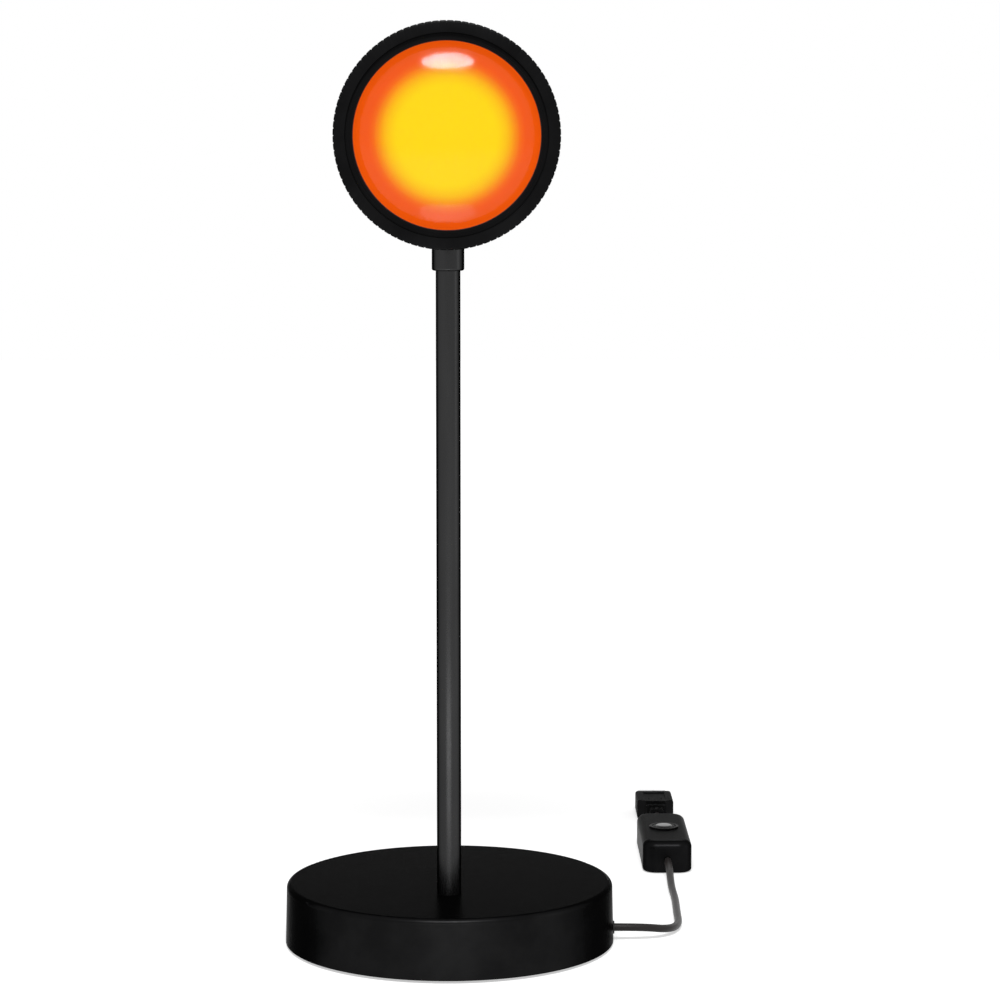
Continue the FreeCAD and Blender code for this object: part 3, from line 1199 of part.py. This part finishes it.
# ---- check and write ---------------------------------------------------------------------------
doc.recompute()
os.makedirs("parts", exist_ok=True)
for item in doc.Objects:
    if "Invalid" in item.State or "Error" in item.State:
        raise RuntimeError("%s: %s" % (item.Label, item.State))
written = 0
for item in doc.Objects:
    loose = item.TypeId == "Part::Feature" and item.getParentGeoFeatureGroup() is None
    if item.TypeId == "PartDesign::Body" or loose:
        shape = item.Shape
        if shape.isNull() or not shape.isValid() or not shape.Solids:
            raise RuntimeError("bad shape: " + item.Label)
        shape.exportStep("parts/%s.step" % item.Label)
        written += 1
        box = shape.BoundBox
        print("%-18s solids %d  volume %9.1f  x %7.2f %7.2f  y %7.2f %7.2f  z %7.2f %7.2f" % (
            item.Label, len(shape.Solids), shape.Volume, box.XMin, box.XMax, box.YMin, box.YMax, box.ZMin, box.ZMax))
print("wrote", written, "parts")
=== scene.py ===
import math

import bmesh
import bpy
from mathutils import Matrix, Vector


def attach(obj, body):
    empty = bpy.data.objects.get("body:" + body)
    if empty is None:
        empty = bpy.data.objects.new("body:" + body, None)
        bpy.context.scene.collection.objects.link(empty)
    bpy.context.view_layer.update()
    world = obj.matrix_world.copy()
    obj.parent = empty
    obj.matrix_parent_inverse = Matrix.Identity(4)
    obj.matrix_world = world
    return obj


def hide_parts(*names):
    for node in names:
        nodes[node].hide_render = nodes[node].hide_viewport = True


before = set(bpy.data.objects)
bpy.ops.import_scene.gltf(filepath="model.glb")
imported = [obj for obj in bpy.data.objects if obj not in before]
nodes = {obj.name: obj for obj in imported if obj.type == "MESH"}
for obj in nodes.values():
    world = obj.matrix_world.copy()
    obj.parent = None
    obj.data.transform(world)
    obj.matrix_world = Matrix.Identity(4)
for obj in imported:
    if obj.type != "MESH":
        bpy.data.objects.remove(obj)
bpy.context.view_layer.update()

scene = bpy.context.scene
scene.view_settings.view_transform = "Standard"

# ---- camera ------------------------------------------------------------------------------------
# A long lens level with the head and tipped a little down: its place and angle come from the ring's
# circle, the foot of the pole and the ellipses of the base in the photograph.
camera_data = bpy.data.cameras.new("front_camera")
camera_data.lens = 114.4
camera_data.sensor_width = 36
camera_data.clip_start = 0.02
camera = bpy.data.objects.new("front_camera", camera_data)
camera.location = (0.01185, -1.1119, 0.2847)
camera.rotation_euler = (math.radians(90 - 6.472), 0, math.radians(-0.314))
scene.collection.objects.link(camera)
scene.camera = camera

# ---- table and lights --------------------------------------------------------------------------
# A plain pale sheet under and behind the lamp. One wide soft box above the camera, a strip on the
# right and a small low bounce card light it, in an evenly bright room.
SHEET_HALF = 2.4
SHEET_BACK = 0.6
SHEET_BELOW = 0.0002
LIFT_NEAR, LIFT_FAR = 0.5, 0.74
LIFT_FROM, LIFT_TO = 0.25, 1.1
ROOM_LIGHT = 0.38
ROOM_SEEN = 1.0


def pale_backdrop():
    """Near-white card with a glow that only camera, gloss and glass rays see, stronger further away."""
    card = bpy.data.materials.new("pale_backdrop")
    card.use_nodes = True
    tree = card.node_tree
    tree.nodes.clear()
    out = tree.nodes.new("ShaderNodeOutputMaterial")
    both = tree.nodes.new("ShaderNodeAddShader")
    matt = tree.nodes.new("ShaderNodeBsdfDiffuse")
    matt.inputs["Color"].default_value = (0.84, 0.84, 0.84, 1)
    glow = tree.nodes.new("ShaderNodeEmission")
    spot = tree.nodes.new("ShaderNodeTexCoord")
    away = tree.nodes.new("ShaderNodeVectorMath")
    away.operation = "LENGTH"
    rise = tree.nodes.new("ShaderNodeMapRange")
    rise.inputs["From Min"].default_value = LIFT_FROM
    rise.inputs["From Max"].default_value = LIFT_TO
    rise.inputs["To Min"].default_value = LIFT_NEAR
    rise.inputs["To Max"].default_value = LIFT_FAR
    share = tree.nodes.new("ShaderNodeMath")
    share.operation = "MULTIPLY"
    tree.links.new(spot.outputs["Object"], away.inputs[0])
    tree.links.new(away.outputs["Value"], rise.inputs["Value"])
    tree.links.new(rise.outputs["Result"], share.inputs[0])
    tree.links.new(seen_rays(tree), share.inputs[1])
    tree.links.new(share.outputs[0], glow.inputs["Strength"])
    tree.links.new(matt.outputs[0], both.inputs[0])
    tree.links.new(glow.outputs[0], both.inputs[1])
    tree.links.new(both.outputs[0], out.inputs["Surface"])
    return card


def seen_rays(tree):
    """1 for camera, gloss and glass rays, and 0 for the rays that light things."""
    path = tree.nodes.new("ShaderNodeLightPath")
    total = path.outputs["Is Camera Ray"]
    for kind in ("Is Glossy Ray", "Is Transmission Ray"):
        most = tree.nodes.new("ShaderNodeMath")
        most.operation = "MAXIMUM"
        tree.links.new(total, most.inputs[0])
        tree.links.new(path.outputs[kind], most.inputs[1])
        total = most.outputs[0]
    return total


def put_in_scene(name, shape, material):
    """A piece made from a bmesh, with its place in its vertices."""
    mesh = bpy.data.meshes.new(name)
    shape.to_mesh(mesh)
    shape.free()
    mesh.materials.append(material)
    piece = bpy.data.objects.new(name, mesh)
    scene.collection.objects.link(piece)
    return piece


sheet = bmesh.new()
bmesh.ops.create_grid(sheet, x_segments=1, y_segments=1, size=SHEET_HALF,
                      matrix=Matrix.Translation((0, SHEET_BACK, -SHEET_BELOW)))
table_sheet = put_in_scene("table_sheet", sheet, pale_backdrop())

room = bpy.data.worlds.new("bright_room")
scene.world = room
room.use_nodes = True
room_light = room.node_tree.nodes["Background"]
room_light.inputs["Color"].default_value = (1, 1, 1, 1)
room_level = room.node_tree.nodes.new("ShaderNodeMath")
room_level.operation = "MULTIPLY_ADD"
room_level.inputs[1].default_value = ROOM_SEEN - ROOM_LIGHT
room_level.inputs[2].default_value = ROOM_LIGHT
room.node_tree.links.new(seen_rays(room.node_tree), room_level.inputs[0])
room.node_tree.links.new(room_level.outputs[0], room_light.inputs["Strength"])


def studio_lamp(name, place, aim, wide, tall, watts):
    """An oval soft lamp that faces a point and doesn't show itself."""
    lamp = bpy.data.lights.new(name, "AREA")
    lamp.shape = "ELLIPSE"
    lamp.size = wide
    lamp.size_y = tall
    lamp.energy = watts
    fitting = bpy.data.objects.new(name, lamp)
    fitting.location = place
    fitting.rotation_euler = (Vector(aim) - Vector(place)).to_track_quat("-Z", "Y").to_euler()
    fitting.visible_camera = False
    scene.collection.objects.link(fitting)


studio_lamp("soft_box", (-0.005, -0.937, 1.237), (0, -0.05, 0.286), 0.68, 0.23, 16)
studio_lamp("right_strip", (1.25, -0.30, 0.35), (0, 0, 0.12), 0.4, 0.9, 0.8)
studio_lamp("bounce_card", (-0.002, -0.262, 0.024), (0, -0.05, 0.286), 0.20, 0.07, 0.11)

# ---- cord --------------------------------------------------------------------------------------
# Round two-core lead in a dark brown-grey vinyl sheath, 2.8 mm thick. It leaves the base through a
# grommet, lies on the table to the switch and goes on to the plug.
CORD_THICK = 0.0028


def speckle(tree, rough, size, detail, stretch=(1, 1, 1)):
    """A noise on the piece's own coordinates, sized in specks per metre."""
    coords = tree.nodes.new("ShaderNodeTexCoord")
    place = tree.nodes.new("ShaderNodeMapping")
    place.inputs["Scale"].default_value = stretch
    noise = tree.nodes.new("ShaderNodeTexNoise")
    noise.inputs["Scale"].default_value = size
    noise.inputs["Detail"].default_value = detail
    noise.inputs["Roughness"].default_value = rough
    tree.links.new(coords.outputs["Object"], place.inputs["Vector"])
    tree.links.new(place.outputs["Vector"], noise.inputs["Vector"])
    return noise.outputs["Fac"]


def ramp(tree, value, stops):
    """A colour ramp over a value: stops are (place, colour)."""
    scale = tree.nodes.new("ShaderNodeValToRGB")
    points = scale.color_ramp.elements
    for point, (place, colour) in ((points[0], stops[0]), (points[-1], stops[-1])):
        point.position = place
        point.color = (*colour, 1)
    for place, colour in stops[1:-1]:
        points.new(place).color = (*colour, 1)
    tree.links.new(value, scale.inputs["Fac"])
    return scale.outputs["Color"]


def between(tree, value, low, high):
    """The value's middle range spread from low to high."""
    spread = tree.nodes.new("ShaderNodeMapRange")
    spread.inputs["From Min"].default_value = 0.3
    spread.inputs["From Max"].default_value = 0.7
    spread.inputs["To Min"].default_value = low
    spread.inputs["To Max"].default_value = high
    tree.links.new(value, spread.inputs["Value"])
    return spread.outputs["Result"]


def finish(name, deep, pale, gloss, grain, relief, metal=0.0, shine=0.5, edge=1.0, stretch=(1, 1, 1),
           cloud=60):
    """A surface with two tones in soft clouds, an uneven roughness and a fine relief.

    deep and pale are its two tones, gloss the lowest and highest roughness, grain the specks per
    metre of the relief and relief their depth in metres. edge is how bright the rim of a curve shines,
    and cloud the clouds per metre. Most black coats and plastics here count as dark metal with a dim
    edge, which keeps them black in the white room."""
    surface = bpy.data.materials.new(name)
    surface.use_nodes = True
    tree = surface.node_tree
    shader = tree.nodes["Principled BSDF"]
    shader.inputs["Metallic"].default_value = metal
    shader.inputs["Specular IOR Level"].default_value = shine
    shader.inputs["Specular Tint"].default_value = (edge, edge, edge, 1)
    clouds = speckle(tree, 0.6, cloud, 4, stretch)
    tree.links.new(ramp(tree, clouds, [(0.35, deep), (0.65, pale)]), shader.inputs["Base Color"])
    specks = speckle(tree, 0.55, grain, 3, stretch)
    tree.links.new(between(tree, specks, *gloss), shader.inputs["Roughness"])
    bump = tree.nodes.new("ShaderNodeBump")
    bump.inputs["Strength"].default_value = 0.6
    bump.inputs["Distance"].default_value = relief
    tree.links.new(specks, bump.inputs["Height"])
    tree.links.new(bump.outputs["Normal"], shader.inputs["Normal"])
    return surface


def dress(material, *names):
    """Gives these CAD pieces their finish."""
    for name in names:
        for slot in nodes[name].material_slots:
            slot.material = material


def lay_cord(name, points, material):
    """A round cord along a smooth line with these points as its control points."""
    line = bpy.data.curves.new(name, "CURVE")
    line.dimensions = "3D"
    line.bevel_depth = CORD_THICK / 2
    line.bevel_resolution = 8
    line.resolution_u = 16
    line.use_fill_caps = True
    run = line.splines.new("NURBS")
    run.points.add(len(points) - 1)
    for point, place in zip(run.points, points):
        point.co = (*place, 1)
    run.order_u = 3
    run.use_endpoint_u = True
    line.materials.append(material)
    cord = bpy.data.objects.new(name, line)
    scene.collection.objects.link(cord)
    return cord


sheath_vinyl = finish("sheath_vinyl", (0.014, 0.0125, 0.012), (0.021, 0.0185, 0.018), (0.34, 0.44), 1800,
                      0.00004, shine=0.15)
lower_cord = lay_cord("sheath_to_switch", [
    (0.0588, 0, 0.0048), (0.0695, 0, 0.0048), (0.0785, 0.0055, 0.0026), (0.0831, 0.017, 0.0014),
    (0.0834, 0.036, 0.0014), (0.0841, 0.058, 0.0014), (0.0837, 0.076, 0.0014), (0.0839, 0.0921, 0.005),
    (0.084, 0.1041, 0.005)], sheath_vinyl)
upper_cord = lay_cord("sheath_to_plug", [
    (0.084, 0.1598, 0.005), (0.0841, 0.1693, 0.0049), (0.0844, 0.1812, 0.0042), (0.0845, 0.1917, 0.0042)],
    sheath_vinyl)
for cord, node in ((lower_cord, "cord_lower"), (upper_cord, "cord_upper")):
    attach(cord, "base")
    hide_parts(node)
dress(sheath_vinyl, "cord_tail", "lamp_lead", "head_lead")

# ---- foot and underside ------------------------------------------------------------------------
# A soft foam-rubber pad under a zinc-plated steel plate, which three countersunk screws hold to the
# bosses of the weight. The pad keeps the rim clear of the table.
foam_rubber = finish("foam_rubber", (0.012, 0.012, 0.012), (0.022, 0.022, 0.022), (0.85, 0.98), 2600, 0.00025,
                     shine=0.2)
zinc_plate = finish("zinc_plate", (0.42, 0.43, 0.45), (0.56, 0.57, 0.58), (0.28, 0.45), 900, 0.00002,
                    metal=1.0, cloud=90)
dress(foam_rubber, "foot_pad")
dress(zinc_plate, "bottom_plate", "plate_screws", "clip_screw")

# ---- weight, clip and grommet ------------------------------------------------------------------
# A disc of grey cast iron with a rough skin gives the lamp its stand. A nylon saddle holds the cord's
# sheath on the bottom plate, and a rubber grommet lines the hole in the cover.
cast_iron = finish("cast_iron", (0.055, 0.053, 0.050), (0.11, 0.105, 0.10), (0.55, 0.8), 700, 0.0003,
                   metal=0.6)
nylon = finish("nylon", (0.55, 0.54, 0.50), (0.64, 0.63, 0.59), (0.4, 0.55), 1500, 0.00003)
grommet_rubber = finish("grommet_rubber", (0.010, 0.010, 0.010), (0.018, 0.018, 0.018), (0.6, 0.75), 2200,
                        0.00005, shine=0.3)
dress(cast_iron, "base_weight")
dress(nylon, "cord_clip")
dress(grommet_rubber, "cord_grommet")

# ---- cover of the base -------------------------------------------------------------------------
# Spun sheet steel in fine black powder coat, with a softly rounded rim on top. The pole's foot stands
# on it.
powder_black = finish("powder_black", (0.0072, 0.0072, 0.0074), (0.0105, 0.0105, 0.0107), (0.30, 0.40), 3200,
                      0.00002, metal=0.95, shine=0.02, edge=0.24)
dress(powder_black, "base_shell")

# ---- pole --------------------------------------------------------------------------------------
# Straight drawn steel tube in the same black, with a threaded tail that a washer and a nut hold under
# the weight, and a flanged bush in its top.
tube_black = finish("tube_black", (0.026, 0.026, 0.0264), (0.035, 0.035, 0.0354), (0.22, 0.30), 2600, 0.00001,
                    metal=1.0, edge=0.0, stretch=(1, 1, 0.15))
plain_steel = finish("plain_steel", (0.38, 0.38, 0.39), (0.52, 0.52, 0.53), (0.22, 0.4), 1400, 0.00002,
                     metal=1.0)
turned_brass = finish("turned_brass", (0.55, 0.38, 0.14), (0.70, 0.50, 0.20), (0.2, 0.34), 1600, 0.00002,
                      metal=1.0)
dress(tube_black, "pole_tube")
dress(plain_steel, "pole_washer", "pole_nut", "swivel_washer", "pivot_screw", "pivot_nut", "friction_washers")
dress(turned_brass, "swivel_bush")

# ---- neck --------------------------------------------------------------------------------------
# Collar and fork are turned from aluminium and anodised black. The collar turns on the pole's top and
# the fork's ears carry the barrel's lug on a steel pivot screw.
anodised_black = finish("anodised_black", (0.0055, 0.0055, 0.0057), (0.0080, 0.0080, 0.0083),
                        (0.34, 0.44), 3600, 0.000015, metal=1.0, edge=0.35)
dress(tube_black, "swivel_collar")
dress(anodised_black, "tilt_fork")

# ---- head --------------------------------------------------------------------------------------
# Die-cast barrel, painted in fine matt black, closed at the back by a finned heat sink of bare black
# anodised aluminium that three long screws hold.
barrel_black = finish("barrel_black", (0.010, 0.010, 0.0103), (0.016, 0.016, 0.0163), (0.36, 0.48), 2600,
                      0.00003, metal=0.9, shine=0.1, edge=0.4)
sink_black = finish("sink_black", (0.006, 0.006, 0.0065), (0.011, 0.011, 0.0115), (0.26, 0.4), 3000, 0.00002,
                    shine=0.5, metal=0.2)
board_white = finish("board_white", (0.72, 0.74, 0.72), (0.80, 0.81, 0.79), (0.35, 0.5), 1200, 0.00002)
phosphor = finish("phosphor", (0.85, 0.62, 0.08), (0.95, 0.72, 0.14), (0.6, 0.8), 4000, 0.00005)
clear_plastic = finish("clear_plastic", (0.92, 0.93, 0.94), (0.96, 0.96, 0.97), (0.05, 0.12), 900, 0.00001)
dress(barrel_black, "barrel", "condenser_holder")
dress(sink_black, "heat_sink")
dress(plain_steel, "heat_sink_screws", "board_screws")
dress(board_white, "led_board")
dress(phosphor, "led_emitter")
dress(clear_plastic, "condenser_lens")

# ---- lens cell ---------------------------------------------------------------------------------
# The coloured disc behind the lens, lit from behind: yellow in its middle and orange towards its rim.
# It lies on a ledge of the turned black carrier, under the thick clear lens that the retainer clamps.
LENS_HEIGHT = 0.286
PIVOT_LINE = -0.019
LENS_RADIUS = 0.0324
LENS_BACK = 0.0240


def ring_profile(points, steps=192):
    """A bmesh turned round the head's axis: points are (radius, distance in front of the pole)."""
    shape = bmesh.new()
    line = [shape.verts.new((0, PIVOT_LINE - front, LENS_HEIGHT + radius)) for radius, front in points]
    edges = [shape.edges.new(pair) for pair in zip(line, line[1:])]
    bmesh.ops.spin(shape, geom=line + edges, cent=(0, 0, LENS_HEIGHT), axis=(0, -1, 0), angle=2 * math.pi,
                   steps=steps, use_merge=True)
    bmesh.ops.remove_doubles(shape, verts=shape.verts, dist=1e-7)
    bmesh.ops.recalc_face_normals(shape, faces=shape.faces)
    for face in shape.faces:
        face.smooth = True
    return shape


filter_glow = bpy.data.materials.new("filter_glow")
filter_glow.use_nodes = True
glow_tree = filter_glow.node_tree
glow_shader = glow_tree.nodes["Principled BSDF"]
glow_coords = glow_tree.nodes.new("ShaderNodeTexCoord")
glow_place = glow_tree.nodes.new("ShaderNodeMapping")
glow_place.inputs["Scale"].default_value = (1 / LENS_RADIUS, 0, 1 / LENS_RADIUS)
glow_place.inputs["Location"].default_value = (0, 0, -LENS_HEIGHT / LENS_RADIUS)
glow_round = glow_tree.nodes.new("ShaderNodeTexGradient")
glow_round.gradient_type = "SPHERICAL"
glow_tree.links.new(glow_coords.outputs["Object"], glow_place.inputs["Vector"])
glow_tree.links.new(glow_place.outputs["Vector"], glow_round.inputs["Vector"])
DYE = ((0.0, (0.91, 0.105, 0.004)), (0.21, (0.91, 0.098, 0.004)), (0.265, (0.93, 0.145, 0.004)),
       (0.335, (0.96, 0.33, 0.003)), (0.41, (0.97, 0.56, 0.002)), (0.50, (0.98, 0.69, 0.001)))
for socket, share in (("Base Color", 0.28), ("Emission Color", 1.0)):
    dye = ramp(glow_tree, glow_round.outputs["Fac"],
               [(place, tuple(tone * share for tone in colour)) for place, colour in DYE])
    glow_tree.links.new(dye, glow_shader.inputs[socket])
glow_shader.inputs["Emission Strength"].default_value = 0.72
glow_shader.inputs["Roughness"].default_value = 0.6
glow_shader.inputs["Specular IOR Level"].default_value = 0.0

# The disc's front is sunk a little into the glass, because an air gap there mirrors the room.
DISC_RADIUS = 0.0323
DISC_FRONT = LENS_BACK + 0.0002
DISC_BACK = 0.0230
filter_disc = put_in_scene("sunset_disc", ring_profile([
    (0, DISC_FRONT), (DISC_RADIUS, DISC_FRONT), (DISC_RADIUS, DISC_BACK), (0, DISC_BACK)]), filter_glow)
for face in filter_disc.data.polygons:
    face.use_smooth = False
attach(filter_disc, "lens_cell")
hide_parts("colour_filter")

lens_clear = bpy.data.materials.new("lens_clear")
lens_clear.use_nodes = True
clear_tree = lens_clear.node_tree
clear_shader = clear_tree.nodes["Principled BSDF"]
clear_shader.inputs["Transmission Weight"].default_value = 1.0
clear_shader.inputs["IOR"].default_value = 1.49
clear_shader.inputs["Specular Tint"].default_value = (0.35, 0.35, 0.35, 1)
clear_shader.inputs["Base Color"].default_value = (1, 1, 1, 1)
haze = speckle(clear_tree, 0.5, 140, 3)
clear_tree.links.new(between(clear_tree, haze, 0.085, 0.115), clear_shader.inputs["Roughness"])

DOME_RADIUS = 0.0312
DOME_LAND = 0.0265
DOME_TALL = 0.008
DOME_STEPS = 40
curve_radius = (DOME_RADIUS ** 2 + DOME_TALL ** 2) / (2 * DOME_TALL)
widest = math.asin(DOME_RADIUS / curve_radius)
dome_turns = [widest * step / DOME_STEPS for step in range(DOME_STEPS + 1)]
dome_line = [(curve_radius * math.sin(turn), DOME_LAND + DOME_TALL - curve_radius * (1 - math.cos(turn)))
             for turn in dome_turns]
front_glass = put_in_scene("front_glass", ring_profile(
    dome_line + [(LENS_RADIUS, DOME_LAND), (LENS_RADIUS, LENS_BACK), (0, LENS_BACK)]), lens_clear)
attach(front_glass, "lens_cell")
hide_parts("front_lens")
edge_split = front_glass.modifiers.new("sharp_rim", "EDGE_SPLIT")
edge_split.split_angle = math.radians(40)

# The carrier and retainer are black like the ring, but made several times darker: painted shade for the
# recess between the lens and the ring.
black_and_recess_shade = finish("black_and_recess_shade", (0.0012, 0.0012, 0.0014), (0.0024, 0.0024, 0.0026), (0.5, 0.62), 3600,
                      0.00002, shine=0.05)
dress(black_and_recess_shade, "lens_carrier", "lens_retainer")
dress(grommet_rubber, "lens_gasket")

# ---- focus ring --------------------------------------------------------------------------------
# Turned and black anodised, with 96 fine scallops round its edge for the fingers. A spring-steel snap
# ring behind the carrier's flange keeps it on the barrel's sleeve.
RIBS = 96
STEPS_TO_A_RIB = 8
GROOVE_DEEP = 0.0003
RING_OUT, RING_IN, SLEEVE_GAP = 0.0380, 0.0340, 0.0356
RING_FRONT, RING_BACK, LIP_BACK = 0.0305, 0.0165, 0.0285
RING_ROUND = 0.0006
KNURL_REACH = 0.00005


def round_corner(radius, front, size, start, count=3):
    """Points of a quarter round about (radius, front), from start degrees back by 90, in steps."""
    turn = [math.radians(start - 90 * step / count) for step in range(count + 1)]
    return [(radius + size * math.cos(angle), front + size * math.sin(angle)) for angle in turn]


corner_radius = RING_OUT - RING_ROUND
ring_section = ([(RING_IN, RING_FRONT)]
                + round_corner(corner_radius, RING_FRONT - RING_ROUND, RING_ROUND, 90)
                + round_corner(corner_radius, RING_BACK + RING_ROUND, RING_ROUND, 0)
                + [(SLEEVE_GAP, RING_BACK), (SLEEVE_GAP, LIP_BACK)]
                + [(RING_IN, LIP_BACK), (RING_IN, RING_FRONT)])
knurled = ring_profile(ring_section, RIBS * STEPS_TO_A_RIB)
for vert in knurled.verts:
    across, up = vert.co.x, vert.co.z - LENS_HEIGHT
    radius = math.hypot(across, up)
    step = round(math.atan2(across, up) / (2 * math.pi) * RIBS * STEPS_TO_A_RIB) % STEPS_TO_A_RIB
    if radius > corner_radius - KNURL_REACH and step == 0:
        shrink = (radius - GROOVE_DEEP) / radius
        vert.co.x = across * shrink
        vert.co.z = LENS_HEIGHT + up * shrink
grip_ring = put_in_scene("grip_ring", knurled, anodised_black)
grip_ring.data.set_sharp_from_angle(angle=math.radians(35))
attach(grip_ring, "ring")
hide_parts("focus_ring")
dress(plain_steel, "snap_ring")

# ---- switch ------------------------------------------------------------------------------------
# Two halves of moulded black plastic, screwed together from below, with a glossy round
# button in a grooved bezel. Inside are a small board, a latching contact block and a coil spring.
case_plastic = finish("case_plastic", (0.005, 0.005, 0.0053), (0.008, 0.008, 0.0083), (0.30, 0.40), 3000,
                      0.00002, metal=0.9, shine=0.08, edge=0.3)
bezel_gloss = finish("bezel_gloss", (0.006, 0.006, 0.006), (0.009, 0.009, 0.009), (0.16, 0.26), 2600,
                     0.000015, metal=0.8, shine=0.16, edge=0.35)
button_gloss = finish("button_gloss", (0.004, 0.004, 0.004), (0.006, 0.006, 0.006), (0.05, 0.10), 1600,
                      0.00001, shine=0.4)
board_green = finish("board_green", (0.01, 0.10, 0.03), (0.02, 0.15, 0.05), (0.3, 0.45), 1500, 0.00003)
dress(case_plastic, "switch_base", "switch_cover")
dress(bezel_gloss, "switch_bezel")
dress(button_gloss, "switch_button")
dress(board_green, "switch_board")
dress(case_plastic, "latch_block")
dress(plain_steel, "switch_screws", "switch_spring")

# ---- plug --------------------------------------------------------------------------------------
# Moulded black vinyl body with a latticed strain relief, and a folded nickel-plated steel shell with
# two windows and a stepped seam. Four brass contacts lie on a plastic tongue behind its mouth.
plug_vinyl = finish("plug_vinyl", (0.006, 0.006, 0.0062), (0.010, 0.010, 0.0104), (0.42, 0.56), 2600, 0.00004,
                    metal=0.8, shine=0.15, edge=0.3)
nickel_shell = finish("nickel_shell", (0.58, 0.58, 0.59), (0.74, 0.74, 0.75), (0.16, 0.28), 2200, 0.000015,
                      metal=1.0, stretch=(1, 0.1, 1))
tongue_plastic = finish("tongue_plastic", (0.62, 0.62, 0.60), (0.72, 0.72, 0.70), (0.4, 0.5), 1800, 0.00003)
dress(plug_vinyl, "plug_relief", "plug_body")
dress(nickel_shell, "plug_shell")
dress(tongue_plastic, "plug_tongue")
dress(turned_brass, "plug_contacts")
